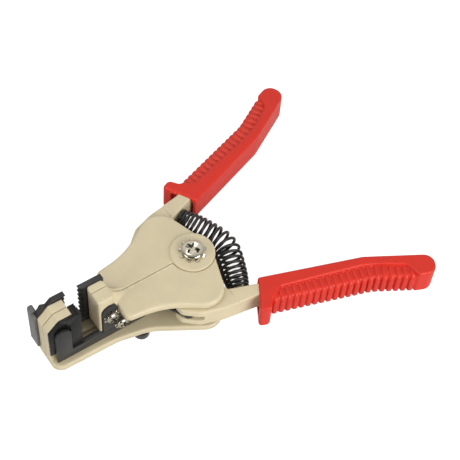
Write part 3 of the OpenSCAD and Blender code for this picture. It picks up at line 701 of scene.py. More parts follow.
# Finishes
class ShaderGroups:
    """Shader node groups that several finishes share."""

    def __init__(self) -> None:
        """Builds each group once."""
        self.speckle = self._speckle_group()
        self.edges = self._edge_group()

    @staticmethod
    def _speckle_group() -> NodeTree:
        """Noise at one size on Object coordinates, spread between two values.

        Returns:
            The group.
        """
        names = ("Scale", "Low", "High")
        number = "NodeSocketFloat"
        tree, into, out = node_group(
            "surface_speckle", "ShaderNodeTree", {name: number for name in names}, "Value", number
        )
        coord = tree.nodes.new("ShaderNodeTexCoord")
        noise = set_inputs(tree.nodes.new("ShaderNodeTexNoise"), {"Detail": 3.0})
        spread = set_inputs(tree.nodes.new("ShaderNodeMapRange"), {"From Min": 0.3, "From Max": 0.7})
        link(
            tree,
            (coord, "Object", noise, "Vector"),
            (into, "Scale", noise, "Scale"),
            (noise, "Fac", spread, "Value"),
            (into, "Low", spread, "To Min"),
            (into, "High", spread, "To Max"),
            (spread, "Result", out, "Value"),
        )
        return tree

    @staticmethod
    def _edge_group() -> NodeTree:
        """A mask of convex edges, where a finish paints in its lighter edge colour as a painted highlight.

        Returns:
            The group.
        """
        number = "NodeSocketFloat"
        tree, into, out = node_group(
            "edge_mask", "ShaderNodeTree", {"Start": number, "End": number}, "Mask", number
        )
        geometry = tree.nodes.new("ShaderNodeNewGeometry")
        spread = tree.nodes.new("ShaderNodeMapRange")
        link(
            tree,
            (geometry, "Pointiness", spread, "Value"),
            (into, "Start", spread, "From Min"),
            (into, "End", spread, "From Max"),
            (spread, "Result", out, "Mask"),
        )
        return tree

    def place(self, tree: NodeTree, group: NodeTree, *values: float) -> Node:
        """Places a group in a material.

        Args:
            tree: the material's tree.
            group: the group.
            values: values of the group's inputs in order.

        Returns:
            The node.
        """
        node = tree.nodes.new("ShaderNodeGroup")
        node.node_tree = group
        return set_inputs(node, dict(enumerate(values)))


@dataclass(frozen=True)
class Finish:
    """One surface finish, with linear colours and its grain's depth in metres."""

    name: str
    slot: str
    color: Color
    # Lighter colour painted on convex edges: a painted edge highlight
    edge_color: Color
    roughness: float
    metallic: float = 0.0
    specular: float = 0.5
    coat: float = 0.0
    coat_roughness: float = 0.12
    mottle: float = 0.04
    mottle_scale: float = 120.0
    roughness_spread: float = 0.15
    roughness_scale: float = 360.0
    grain_scale: float = 1500.0
    grain_depth: float = 0.00002
    grain_strength: float = 0.5
    edge_start: float = 0.52
    edge_end: float = 0.62

    def material(self, groups: ShaderGroups) -> Material:
        """Builds the finish's material once.

        Args:
            groups: the shared shader groups.

        Returns:
            The material.
        """
        known = bpy.data.materials.get(self.name)
        if known:
            return known
        made = bpy.data.materials.new(self.name)
        made.use_nodes = True
        made.diffuse_color = (*self.color, 1.0)
        tree = made.node_tree
        shader = set_inputs(
            tree.nodes["Principled BSDF"],
            {
                "Metallic": self.metallic,
                "Specular IOR Level": self.specular,
                "Coat Weight": self.coat,
                "Coat Roughness": self.coat_roughness,
            },
        )
        # Painted highlight: the edge mask mixes the lighter edge colour into convex edges
        edges = groups.place(tree, groups.edges, self.edge_start, self.edge_end)
        edge_lit = color_mix(tree, {"A": (*self.color, 1.0), "B": (*self.edge_color, 1.0)})
        low, high = 1 - self.mottle, 1 + self.mottle
        mottle = groups.place(tree, groups.speckle, self.mottle_scale, low, high)
        shade = color_mix(tree, {"Factor": 1.0}, "MULTIPLY")
        low, high = (self.roughness * (1 + way * self.roughness_spread) for way in (-1, 1))
        rough = groups.place(tree, groups.speckle, self.roughness_scale, low, high)
        grain = groups.place(tree, groups.speckle, self.grain_scale, 0.0, 1.0)
        bump = set_inputs(
            tree.nodes.new("ShaderNodeBump"), {"Strength": self.grain_strength, "Distance": self.grain_depth}
        )
        link(
            tree,
            (edges, "Mask", edge_lit, "Factor"),
            (edge_lit, "Result", shade, "A"),
            (mottle, "Value", shade, "B"),
            (shade, "Result", shader, "Base Color"),
            (rough, "Value", shader, "Roughness"),
            (grain, "Value", bump, "Height"),
            (bump, "Normal", shader, "Normal"),
        )
        return made


CREAM = Finish(
    "cream_enamel", "cream_paint", (0.60, 0.515, 0.335), (0.66, 0.58, 0.395), 0.46,
    coat=0.08, edge_start=0.54, edge_end=0.7,
)
RED = Finish(
    "red_moulding", "red_plastic", (0.60, 0.021, 0.0075), (0.70, 0.055, 0.027), 0.4,
    specular=0.35, mottle=0.03,
)
BLACK = Finish(
    "blackened_steel", "black_steel", (0.026, 0.0255, 0.0245), (0.052, 0.05, 0.046), 0.34, specular=0.2
)
# Painted shade: a darker copy of the blackened steel, for the shaded faces of the nose pad
BLACK_STEEL_PAINTED_SHADE = Finish(
    "deep_black_steel", "black_steel", (0.006, 0.006, 0.0058), (0.018, 0.0175, 0.0165), 0.28,
    specular=0.13,
)
# Painted light: the black plastic wire stop is coloured lighter grey for the light on its front face
STOP_PAINTED_LIGHT = Finish(
    "stop_grey", "black_plastic", (0.1, 0.098, 0.093), (0.2, 0.195, 0.185), 0.42, specular=0.3
)
GLOSS_BLACK = Finish(
    "gloss_black", "black_plastic", (0.012, 0.012, 0.012), (0.07, 0.07, 0.07), 0.2, coat=0.4
)
WIRE = Finish(
    "black_wire", "spring_steel", (0.008, 0.008, 0.0075), (0.04, 0.038, 0.035), 0.3, metallic=0.3
)
NICKEL = Finish(
    "nickel_plate", "nickel", (0.52, 0.48, 0.38), (0.8, 0.76, 0.64), 0.18, metallic=1.0, mottle=0.12
)
# Painted shade: dark nickel for the cross recesses of the screws
RECESS_PAINTED_SHADE = Finish("dark_recess", "nickel", (0.07, 0.062, 0.052), (0.2, 0.18, 0.15), 0.4, metallic=0.7)


@dataclass
class Workshop:
    """Dresses pieces and hangs them on their bodies."""

    groups: ShaderGroups = field(default_factory=ShaderGroups)

    def dress(self, obj: Object, finish: Finish) -> None:
        """Gives an object one finish, and the marked faces of a nickel one the painted shade of its recess.

        Args:
            obj: the object.
            finish: its finish.
        """
        marks = [polygon.material_index for polygon in obj.data.polygons]
        obj.data.materials.clear()
        obj.data.materials.append(self.material(finish))
        # The marked recess faces of a nickel piece get the painted shade
        if finish is NICKEL and any(marks):
            obj.data.materials.append(self.material(RECESS_PAINTED_SHADE))
            for polygon, mark in zip(obj.data.polygons, marks):
                polygon.material_index = min(mark, 1)

    def material(self, finish: Finish) -> Material:
        """The material of a finish."""
        return finish.material(self.groups)

    def fit(self, obj: Object, body: str, finish: Finish, *nodes: str) -> None:
        """Dresses a piece, lets it ride on a body and stand for CAD nodes.

        Args:
            obj: the piece.
            body: the body it rides on.
            finish: its finish.
            nodes: the CAD nodes that it stands for.
        """
        self.dress(obj, finish)
        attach(obj, body)
        if nodes:
            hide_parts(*nodes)
        log.info("%s: %d faces on %s", obj.name, len(obj.data.polygons), body)

    def bend(
        self, obj: Object, a: str, b: str, start: Point3, end: Point3, finish: Finish, *nodes: str
    ) -> None:
        """Dresses a piece, bakes its placing into its mesh, hides the CAD nodes it stands for and logs the
        two bodies it lies between.

        Args:
            obj: the piece.
            a: the body at its start, which is only named in the log.
            b: the body at its end, which is only named in the log.
            start: where it starts to leave the first body, in millimetres; not used.
            end: where it has joined the second body, in millimetres; not used.
            finish: its finish.
            nodes: the CAD nodes that it stands for.
        """
        self.dress(obj, finish)
        tuple(v * MM for v in start)
        tuple(v * MM for v in end)
        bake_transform(obj)
        if nodes:
            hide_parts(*nodes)
        log.info("%s: %d faces between %s and %s", obj.name, len(obj.data.polygons), a, b)

    def keep(self, node: str, finish: Finish) -> None:
        """Keeps a CAD node as it is and gives it a finish."""
        self.dress(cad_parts[node], finish)
        log.info("%s: kept", node)


# Covers
@dataclass
class CoverHalf:
    """A die-cast half cover with its fixed jaw."""

    shop: Workshop
    side: Side
    top: float = 21.5
    low: float = 18.2
    rims: Point2 = (0.5, 1.15)
    jaw_rims: Point2 = (0.4, 0.8)
    lap_rims: Point2 = (0.3, 0.1)
    boss_rims: Point2 = (0.05, 0.45)
    lap: float = 19.8
    lap_gap: float = 0.05
    lap_r: float = 9.95
    lap_room_r: float = 10.1
    boss_r: float = 9.8
    boss_top: float = 22.3
    jaw_back: float = 41.9
    jaw_front: float = 49.5
    jaw_top: float = 30.6
    jaw_low: float = 8.3
    core_back: float = 36.2
    core_span: Point2 = (8.8, 19.2)
    rail_core_back: float = 36.3
    rail_core_front: float = 41.0
    rail_core_low: float = 8.9
    overlap: float = 1.0
    rail_seat: float = 5.2
    post: Corner = (12.5, 3.72, 1.2)
    post_span: Point2 = (3.5, 19.0)
    seam: float = 0.1

    @property
    def jaw_half_w(self) -> float:
        """Half width of this half's jaw."""
        return 6.1 if self.side is Side.GRIPPER else 3.9

    def build(self) -> None:
        """Builds and dresses the cover."""
        s, w = self.side, self.jaw_half_w
        grips = s is Side.GRIPPER
        outline = [(40.5, -5.3, 0), (40.5, 13.2, 3), (24.1, 15.3, 38), (1.0, 30.9, 9.2), (-10.8, -3.8, 0)]
        back, front = self.jaw_back, self.jaw_front
        jaw = [(back, -w, 0), (front, -w, 0), (front, w, 1.2), (back, w, 1.7)]
        core_low, core_high = self.core_span
        core_side = self.rail_seat if grips else w
        parts = [
            plate("cover_plate", s, outline, (self.low, self.top), self.rims),
            self._ramp(),
            plate("jaw", s, jaw, (self.jaw_low, self.jaw_top), self.jaw_rims),
            block("core", s, (self.core_back, -w, core_low), (back + self.overlap, core_side, core_high)),
            prism("post", s, disc_outline(*self.post, steps=24), self.post_span),
        ]
        cutters = [past_seam(s, self.seam)]
        under, over = self.lap - self.lap_gap, self.lap + self.lap_gap
        if grips:
            cutters.append(prism("lap", s, disc_outline(0, 0, self.lap_r, steps=64), (under, FAR)))
            cutters.append(self._pocket())
        else:
            corner = (self.rail_core_back, -w, self.rail_core_low)
            parts.append(block("rail_core", s, corner, (self.rail_core_front, self.rail_seat, core_high)))
            cutters.append(prism("lap", s, disc_outline(0, 0, self.lap_room_r, steps=64), (-FAR, over)))
        body = carved(joined("cover_body", parts), cutters)
        if grips:
            boss = disc("lap_disc", s, self.boss_r, (self.low, under), self.lap_rims)
        else:
            boss = disc("boss_disc", s, self.boss_r, (over, self.boss_top), self.boss_rims)
        cover = cast(joined(f"{s.word}_cover_look", [body, boss]), voxel=0.24, soften=3, keep=0.45)
        self.shop.fit(cover, s.half, CREAM, f"{s.word}_cover")

    def _ramp(self) -> Object:
        """The concave ramp that rises to the jaw beside the seam.

        Returns:
            The ramp, with room to overlap its neighbours.
        """
        shares = [(0, 0), (0.22, 0.05), (0.42, 0.13), (0.6, 0.25), (0.76, 0.42), (0.9, 0.66), (1, 0.9)]
        length, foot, rise = 8.9, 0.5, self.jaw_top - self.top
        start, base = self.jaw_back - length, self.top - 0.3
        back, floor = self.jaw_back + self.overlap, self.low + self.overlap
        slices = ((-2.4, 0), (1.2, 0), (2.4, 0.25), (3.6, 0.7), (4.8, 1))
        loops = []
        for y, blend in slices:
            y *= self.side.value
            line = []
            for u, h in shares:
                x = start + (u * (1 - blend) + (foot + u * (1 - foot)) * blend) * length
                line.append((x, y, base + h * rise * (1 - blend)))
            loops.append(line + [(back, y, line[-1][2]), (back, y, floor), (line[0][0], y, floor)])
        return stacked("ramp", loops)

    def _pocket(self) -> Object:
        """The arched pocket for the rail's lug.

        Returns:
            The pocket as a cutter.
        """
        back, front, low, top, depth = 40.7, 48.6, 7.0, 25.6, (5.3, 8.0)
        r = (front - back) / 2
        arch = arc(back + r, top - r, r, 0, math.pi, 16)
        return side_prism("pocket", self.side, [(back, low), (front, low)] + arch, depth)


# Frames
@dataclass
class NoseFrame:
    """A lower frame with its upright nose."""

    shop: Workshop
    side: Side
    plate_top: float = 3.2
    rims: Point2 = (0.5, 0.9)
    nose_back: float = 60.8
    nose_front: float = 72.4
    nose_low: float = 8.5
    nose_sides: Point2 = (-2.0, 4.3)
    foot_sides: Point2 = (-2.0, 3.6)
    foot_span: Point2 = (1.6, 9.0)
    fold: float = 67.2
    slope_z: float = 25.55
    top: float = 30.6
    slot_r: float = 4.5
    flange_r: float = 9.3
    flange_top: float = 1.3
    travel: float = 7.0
    tail_degrees: float = 8.5
    tail_len: float = 37.0
    groove_start: Point3 = (46.0, -1.0, 1.5)
    groove_side: float = 0.75
    groove_top: float = 9.0
    seam: float = 0.1

    def build(self) -> None:
        """Builds and dresses the frame."""
        s, b, f, low = self.side, self.nose_back, self.nose_front, self.nose_low
        outline = [
            (72.5, -9.3, 0), (72.5, 9.3, 4.5), (43.4, 9.8, 30), (29.0, 12.8, 25), (1.0, 29.5, 7.6),
            (-10.5, -4.6, 0),
        ]
        foot = [(x, z) for z, ends in zip(self.foot_span, ((b, f), (f, b))) for x in ends]
        nose = [(b, low), (f, low), (f, self.slope_z), (self.fold, self.top), (b, self.top)]
        parts = [
            plate("bottom", s, outline, (0, self.plate_top), self.rims),
            side_prism("foot", s, foot, self.foot_sides),
            side_prism("nose", s, nose, self.nose_sides),
        ]
        start, end, inner = self.travel, self.travel - self.tail_len, -0.5
        spread = self.seam + self.tail_len * math.tan(math.radians(self.tail_degrees))
        tail = [(start, inner), (start, self.seam), (end, spread), (end, inner)]
        cutters = [
            past_seam(s, self.seam),
            prism("tail", s, tail, (-FAR, FAR)),
            prism("slot", s, self._stadium(self.slot_r), (-FAR, FAR)),
            prism("flange_bed", s, self._stadium(self.flange_r), (-FAR, self.flange_top)),
            block("middle_groove", s, self.groove_start, (b, self.groove_side, self.groove_top)),
        ]
        body = carved(joined(f"{s.word}_frame_look", parts), cutters)
        self.shop.fit(cast(body, voxel=0.27, soften=4, keep=0.45), s.slide, CREAM, f"{s.word}_frame")

    def _stadium(self, r: float) -> list[Point2]:
        """Outline of a round slot as long as the nose's travel."""
        left = arc(0, 0, r, QUARTER, 3 * QUARTER, 24)
        return [(self.travel - x, -y) for x, y in left] + left


# Arms
@dataclass
class HandleArm:
    """A forked handle arm."""

    shop: Workshop
    side: Side
    low: float = 8.5
    high: float = 18.0
    raised_top: float = 18.4
    rims: Point2 = (0.5, 0.5)
    tang_span: Point2 = (10.0, 16.0)
    fork_span: Point2 = (11.8, 14.7)
    lug_r: float = 8.6
    lug_room_r: float = 9.1
    lug_rims: Point2 = (0.2, 0.2)
    raised_rims: Point2 = (0.1, 0.4)
    lug_skin: float = 0.1
    lug_gap: float = 0.15
    room_gap: float = 0.05
    bore_r: float = 4.3
    step_r: float = 22.5
    step_back: float = -18.0
    step_front: float = -4.0

    def build(self) -> None:
        """Builds and dresses the arm."""
        s = self.side
        outline = [
            (7.40, 4.37, 0), (11.42, 13.38, 4), (19.18, 15.70, 2), (18.64, 20.34, 2.6), (12.67, 25.60, 8),
            (3.03, 28.72, 12), (-12.31, 31.04, 30), (-20.0, 33.44, 0), (-20.0, 27.74, 0),
            (-2.85, 21.41, 3), (-5.35, 9.81, 6), (-7.76, 4.01, 0),
        ]
        tang = [(-18.5, 32.9, 0), (-63.8, 47.1, 1.2), (-62.4, 43.4, 2), (-18.5, 27.2, 0)]
        fork = [(12.05, 32.1), (8.31, 12.9), (8.89, 8.0), (8.89, -4.5), (40.1, -4.5), (40.1, 32.1)]
        mid = (self.low + self.high) / 2
        if s is Side.GRIPPER:
            lug, room = (self.low + self.lug_skin, mid - self.lug_gap), (mid - self.room_gap, FAR)
        else:
            lug, room = (mid + self.lug_gap, self.high - self.lug_skin), (-FAR, mid + self.room_gap)
        parts = [
            plate("arm_plate", s, outline, (self.low, self.high), self.rims),
            plate("tang", s, tang, self.tang_span, self.rims),
            disc("lug", s, self.lug_r, lug, self.lug_rims, steps=48),
        ]
        cutters = [
            prism("lug_room", s, disc_outline(0, 0, self.lug_room_r, steps=48), room),
            prism("fork", s, fork, self.fork_span),
            prism("bore", s, disc_outline(0, 0, self.bore_r, steps=32), (-FAR, FAR)),
        ]
        body = carved(joined("arm_body", parts), cutters)
        raised = plate("raised", s, outline, (mid, self.raised_top), self.raised_rims)
        step = [
            prism("step", s, disc_outline(0, 0, self.step_r, steps=96), (-FAR, FAR)),
            block("front", s, (self.step_front, -FAR, -FAR), (FAR, FAR, FAR)),
            block("back", s, (-FAR, -FAR, -FAR), (self.step_back, FAR, FAR)),
        ]
        parts = [body, carved(raised, step), self._seat()]
        arm = cast(joined(f"{s.word}_handle_arm_look", parts), voxel=0.27, soften=3, keep=0.5)
        self.shop.fit(arm, s.handle, CREAM, f"{s.word}_handle_arm")

    def _seat(self) -> Object:
        """The round boss that the main spring sits on.

        Returns:
            The boss, with the pin that reaches into the spring.
        """
        spring = MainSpring(self.shop)
        x, y, z, g = spring.axis(spring.half_len + spring.over)
        place = Vector((x, y, z))
        way = Vector((math.sin(g), math.cos(g), 0))
        across = Vector((-math.cos(g), math.sin(g), 0))
        up = Vector((0, 0, 1))
        profile = ((-3.5, 2.0), (-3.2, 2.35), (0.0, 2.4), (0.0, 4.4), (2.4, 4.4))
        rings = []
        for reach, r in profile:
            ring = [place + way * reach + across * a + up * b for a, b in disc_outline(0, 0, r, steps=32)]
            rings.append([(p.x, p.y * self.side.value, p.z) for p in ring])
        return stacked("seat", rings)


# Grips
@dataclass
class RibbedGrip:
    """A red moulded grip with a guard and a ribbed hollow."""

    shop: Workshop
    side: Side
    low: float = 5.0
    high: float = 19.0
    hollow: float = 1.6
    core_rims: Point2 = (0.6, 1.6)
    rim_rims: Point2 = (1.5, 1.0)
    mouth_rims: Point2 = (1.8, 1.2)
    mouth_low: float = 2.0
    mouth_high: float = 1.8
    rib_count: int = 21
    rib_line: tuple[Point2, ...] = ((-18.4, 36.1), (-60.5, 49.95), (-75.2, 58.4))
    rib_out: float = 0.6
    rib_in: float = -7.4
    rib_r: float = 2.4
    rib_foot_r: float = 0.7

    def build(self) -> None:
        """Builds and dresses the grip."""
        s, h = self.side, self.hollow
        shared = [
            (-89.2, 54.95, 4.8), (-62.17, 39.5, 14), (-17.5, 23.9, 1.0), (-9.0, 38.1, 1.4),
            (-13.6, 40.0, 2.2),
        ]
        tip = (-84.6, 63.5, 4.8)
        core = shared + [(-16.1, 35.9, 1.2), (-60.5, 50.1, 14), (-78.0, 60.3, 0), tip]
        rim = shared + [
            (-16.6, 36.2, 1.4), (-20.6, 34.4, 1.5), (-23.4, 32.9, 2.2), (-40.8, 37.9, 30),
            (-58.8, 43.2, 12), (-65.1, 46.1, 8), (-75.9, 53.2, 2.5), (-76.9, 60.3, 1.2), tip,
        ]
        mouth = [(-25.9, 29.4), (-15.6, 24.5), (-8.0, 26.76), (-8.0, 33.6), (-13.0, 34.9), (-22.6, 31.6)]
        mouth_span = (self.low + self.mouth_low, self.high - self.mouth_high)
        parts = [
            plate("core", s, core, (self.low + h, self.high - h), self.core_rims),
            plate("rim", s, rim, (self.low, self.high), self.rim_rims),
        ]
        hole = plate("mouth", s, [(x, y, 0) for x, y in mouth], mouth_span, self.mouth_rims)
        body = cast(carved(joined("grip_body", parts), [hole]), voxel=0.3, soften=3, keep=0.5)
        grip = joined(f"{s.word}_grip_look", [body, self._ribs()])
        self.shop.fit(grip, s.handle, RED, f"{s.word}_grip")

    def _ribs(self) -> Object:
        """The finger ribs, set along the outer side by Geometry Nodes.

        Returns:
            One mesh of all ribs.
        """
        s, out, r, r_foot = self.side, self.rib_out, self.rib_r, self.rib_foot_r
        sunk, root = 0.1, 1.2
        foot, top = self.low + self.hollow, self.high - self.hollow
        low, high = foot + sunk, top - sunk
        section = [
            (self.rib_in, foot + root),
            (self.rib_in, low),
            *arc(out - r_foot, low + r_foot, r_foot, -QUARTER, 0, 4),
            *arc(out - r, high - r, r, 0, QUARTER, 8),
            (self.rib_in, high),
            (self.rib_in, top - root),
        ]
        flank = ((1.18, -0.8), (1.12, -0.1), (0.98, 0.3), (0.66, 0.5))
        crest = [(-v, rise) for v, rise in flank] + [(0.0, 0.6)] + list(flank[::-1])
        rib = stacked("rib_shape", [[(v, u, z) for u, z in inset(section, -rise)] for v, rise in crest])
        line = [(x, y * s.value) for x, y in self.rib_line]
        return repeated("ribs", rib, line, self.rib_count, self.shop.material(RED), s is Side.GRIPPER)


# Springs
@dataclass
class MainSpring:
    """The bent main spring between the handle arms, with a bend between two straight runs.

    It is cut into four lengths, at border on either side of its middle and at its middle. The wire
    runs past the arms' marks by over less gap, and its last stretch, lead, has no turn. The
    end turns are narrower, down to end_r, and closer, by end_pitch.
    """

    shop: Workshop
    apex: float = 16.8
    bend_r: float = 13.5
    end: Point2 = (-9.1, 23.2)
    z: float = 13.25
    coil_r: float = 5.5
    end_r: float = 3.6
    wire_r: float = 0.67
    turns: int = 20
    gap: float = 0.3
    over: float = 1.4
    lead: float = 1.56
    end_pitch: float = 0.72
    steps: int = 28
    border: float = 6.8
    taper_power: float = 3.6

    @property
    def bend_x(self) -> float:
        """Centre of the bend on the X axis."""
        return self.bend_r - self.apex

    @property
    def half_angle(self) -> float:
        """Angle of the bend on either side of the middle, in radians."""
        dx, dy = self.bend_x - self.end[0], self.end[1]
        return math.atan2(dy, dx) - math.acos(self.bend_r / math.hypot(dx, dy))

    @property
    def half_len(self) -> float:
        """Length of the axis from the middle to where an arm takes over."""
        g = self.half_angle
        return g * self.bend_r + (self.end[1] - self.bend_r * math.sin(g)) / math.cos(g)

    @property
    def coil_len(self) -> float:
        """Length of the axis along which the wire turns."""
        return 2 * (self.half_len + self.over - self.lead - self.gap)

    def axis(self, s: float) -> tuple[float, float, float, float]:
        """A point of the axis at a length from its middle, with the axis' turn there.

        Args:
            s: length along the axis, positive towards the gripper's arm.

        Returns:
            X, Y and Z in millimetres and the turn in radians.
        """
        g = max(-self.half_angle, min(self.half_angle, s / self.bend_r))
        run = s - g * self.bend_r
        x = self.bend_x - self.bend_r * math.cos(g) + run * math.sin(g)
        return x, self.bend_r * math.sin(g) + run * math.cos(g), self.z, g

    def _share(self, u: float) -> float:
        """Where along the axis a share of the turns lies: the end turns are close."""
        return u - (1 - self.end_pitch) * math.sin(2 * math.pi * u) / (2 * math.pi)

    def _wire(self, s: float, turn: float) -> Point3:
        """A point of the wire's centre line.

        Args:
            s: length along the axis.
            turn: turn round the axis in radians.

        Returns:
            The point in millimetres.
        """
        x, y, z, g = self.axis(s)
        taper = min(1.0, abs(2 * s / self.coil_len)) ** self.taper_power
        r = self.coil_r - (self.coil_r - self.end_r) * taper
        across = r * math.cos(turn)
        return x - across * math.cos(g), y + across * math.sin(g), z + r * math.sin(turn)

    def path(self) -> list[tuple[float, Point3]]:
        """Centre line of the wire from the cutter's arm to the gripper's.

        Returns:
            Pairs of a length along the axis and a point.
        """
        count = self.turns * self.steps
        points = []
        for i in range(count + 1):
            s = (self._share(i / count) - 0.5) * self.coil_len
            points.append((s, self._wire(s, 2 * math.pi * i / self.steps)))
        end = self.half_len + self.over - self.gap
        flat = end - 2 * self.wire_r
        ends = [(s, self._wire(s, 0.0)) for s in (-end, -flat, flat, end)]
        return ends[:2] + points + ends[2:]

    def build(self) -> None:
        """Builds the spring as four lengths between the handles."""
        path = self.path()
        marks = (-self.half_len, -self.border, 0.0, self.border, self.half_len)
        bodies = ("cutter_handle", "cutter_half", "pivot", "gripper_half", "gripper_handle")
        inner = [min(range(len(path)), key=lambda i: abs(path[i][0] - mark)) for mark in marks[1:-1]]
        cuts = [0, *inner, len(path) - 1]
        for k, letter in enumerate("abcd"):
            line = [point for _, point in path[cuts[k] : cuts[k + 1] + 1]]
            piece = wire_mesh(f"main_spring_{letter}", line, self.wire_r, self.shop.material(WIRE))
            start, end = (self.axis(mark)[:3] for mark in marks[k : k + 2])
            nodes = ("main_spring",) if letter == "b" else ()
            self.shop.bend(piece, bodies[k], bodies[k + 1], start, end, WIRE, *nodes)


@dataclass
class ClosingSpring:
    """The torsion spring round the pivot whose legs hold the two halves together."""

    shop: Workshop
    r: float = 5.5
    wire_r: float = 0.475
    low: float = 3.96
    pitch: float = 1.3775
    turns: float = 2.5
    leg_root: float = 0.95
    leg_held: float = 11.0
    leg_end: float = 14.0
    steps: int = 48

    def build(self) -> None:
        """Builds the coil, which rides on the pivot, and the two legs."""
        high = self.low + self.pitch * self.turns
        count = round(self.turns * self.steps)
        circle = arc(0, 0, self.r, -QUARTER, -QUARTER - 2 * math.pi * self.turns, count)
        coil = [(x, y, self.low + self.pitch * i / self.steps) for i, (x, y) in enumerate(circle)]
        coil = [(self.leg_root, -self.r, self.low), *coil, (self.leg_root, self.r, high)]
        wire = self.shop.material(WIRE)
        piece = wire_mesh("closing_spring_coil", coil, self.wire_r, wire)
        self.shop.fit(piece, "pivot", WIRE, "closing_spring")
        reach = self.leg_end - self.leg_root
        for side, z in ((Side.GRIPPER, high), (Side.CUTTER, self.low)):
            y = self.r * side.value
            line = [(self.leg_root + reach * k / self.steps, y, z) for k in range(self.steps + 1)]
            leg = wire_mesh(f"closing_spring_{side.word}_leg", line, self.wire_r, wire)
            self.shop.bend(leg, "pivot", side.half, (self.leg_root, y, z), (self.leg_held, y, z), WIRE)


# Fasteners
@dataclass(frozen=True)
class CrossScrew:
    """A domed screw head with a cross recess."""

    head_r: float
    head_h: float
    cross_l: float
    cross_w: float
    depth: float
    foot: float = 0.86
    chamfer: float = 0.12
    skirt: float = 0.3
    mouth_grow: float = 1.15
    floor_grow: float = 0.55
    clearance: float = 0.5

    def head(self, name: str) -> Object:
        """Makes the head alone, seated on the origin with its top along +Z.

        Args:
            name: the object's name.

        Returns:
            The head, with the faces of its recess marked.
        """
        r, h = self.head_r, self.head_h
        tip_r = 0.02
        profile = [(self.foot * r, 0.0), (r, self.chamfer * h), (r, self.skirt * h)]
        for out, up in arc(0, 0, 1, 0, QUARTER, 8)[1:]:
            profile.append((max(out * r, tip_r), (self.skirt + (1 - self.skirt) * up) * h))
        rings = [[(x, y, z) for x, y in disc_outline(0, 0, ring_r, steps=48)] for ring_r, z in profile]
        made = carved(stacked(name, rings), [self._slit(turn) for turn in (0.0, QUARTER)])
        shade_by_angle(made, degrees=38)
        # Marks the faces of the cross for the painted recess shade
        for polygon in made.data.polygons:
            polygon.material_index = int(self._in_cross(polygon))
        return made

    def _slit(self, turn: float) -> Object:
        """One arm of the cross, wider at its mouth.

        Args:
            turn: its turn in radians.

        Returns:
            The arm as a cutter.
        """
        loops = []
        floor, mouth = self.head_h - self.depth, self.head_h + self.clearance
        for z, grow in ((floor, self.floor_grow), (mouth, self.mouth_grow)):
            u, v = self.cross_l / 2 * grow, self.cross_w / 2 * grow
            corners = [(-u, -v), (u, -v), (u, v), (-u, v)]
            loops.append([(*turned(x, y, turn), z) for x, y in corners])
        return stacked("slit", loops)

    def _in_cross(self, polygon: MeshPolygon) -> bool:
        """Whether a face is a wall or the floor of the cross.

        Args:
            polygon: the face.

        Returns:
            Whether it is.
        """
        x, y, z = (v / MM for v in polygon.center)
        near, far = sorted((abs(x), abs(y)))
        floor = self.head_h - self.depth + 0.05 * self.head_h
        steep = abs(polygon.normal.z) < 0.4
        inside = near < 0.6 * self.cross_w and far < 0.62 * self.cross_l
        return inside and z > self.skirt * self.head_h and (steep or z < floor)


@dataclass(frozen=True)
class StarWasher:
    """A washer with twisted outer teeth."""

    r: float
    bore: float
    t: float
    teeth: int
    ring_share: float = 0.74
    tooth_share: float = 0.13
    circle_share: float = 0.72
    tooth_twists: tuple[Point2, ...] = ((-0.08, 0.0), (0.06, 0.25), (0.28, 0.5))

    def build(self, name: str, material: Material) -> Object:
        """Makes the washer, lying on the origin plane.

        Args:
            name: the object's name.
            material: what it is dressed in.

        Returns:
            The washer as one mesh.
        """
        ring_r = self.ring_share * self.r
        edges = ((self.bore, 0.0), (ring_r, 0.0), (ring_r, self.t), (self.bore, self.t))
        ring = [[(x, y, z) for x, y in disc_outline(0, 0, r, steps=48)] for r, z in edges]
        made = joined(name, [stacked("washer_ring", ring, ring=True), self._teeth(material)])
        shade_by_angle(made, degrees=30)
        return made

    def _teeth(self, material: Material) -> Object:
        """The teeth, set round the ring by Geometry Nodes.

        Args:
            material: what they are dressed in.

        Returns:
            One mesh of all teeth.
        """
        half, t = self.tooth_share * self.r, self.t / 2
        loops = []
        for reach, twist in self.tooth_twists:
            corners = [turned(u, v, twist) for u, v in ((-half, -t), (half, -t), (half, t), (-half, t))]
            loops.append([(x, reach * self.r, z + t) for x, z in corners])
        circle = disc_outline(0, 0, self.circle_share * self.r, self.teeth)
        return repeated("teeth", stacked("tooth", loops), circle, self.teeth, material, True, closed=True)


@dataclass
class PivotFasteners:
    """The bolt, star washer and sleeve of the main pivot."""

    shop: Workshop
    seat: float = 22.35
    washer: StarWasher = StarWasher(r=6.0, bore=2.6, t=0.6, teeth=9)
    screw: CrossScrew = CrossScrew(head_r=4.9, head_h=2.2, cross_l=7.0, cross_w=2.3, depth=1.7)
    head_degrees: float = 28.0
    shank_r: float = 2.5
    shank_low: float = 3.6

    def build(self) -> None:
        """Builds and dresses the pivot's fasteners."""
        top = self.seat + self.washer.t
        washer = self.washer.build("pivot_star_washer_look", self.shop.material(NICKEL))
        placed(washer, Matrix.Translation((0, 0, self.seat)))
        self.shop.fit(washer, "pivot", NICKEL, "pivot_star_washer")
        turn = Matrix.Rotation(math.radians(self.head_degrees), 4, "Z")
        head = placed(self.screw.head("pivot_bolt_look"), Matrix.Translation((0, 0, top)) @ turn)
        outline = disc_outline(0, 0, self.shank_r, steps=32)
        shank = prism("shank", Side.GRIPPER, outline, (self.shank_low, top + 0.1))
        bolt = joined("pivot_bolt_look", [head, shank])
        shade_by_angle(bolt, degrees=38)
        self.shop.fit(bolt, "pivot", NICKEL, "pivot_bolt")
        self.shop.fit(softened("pivot_sleeve_nut", 0.2), "pivot", NICKEL, "pivot_sleeve_nut")


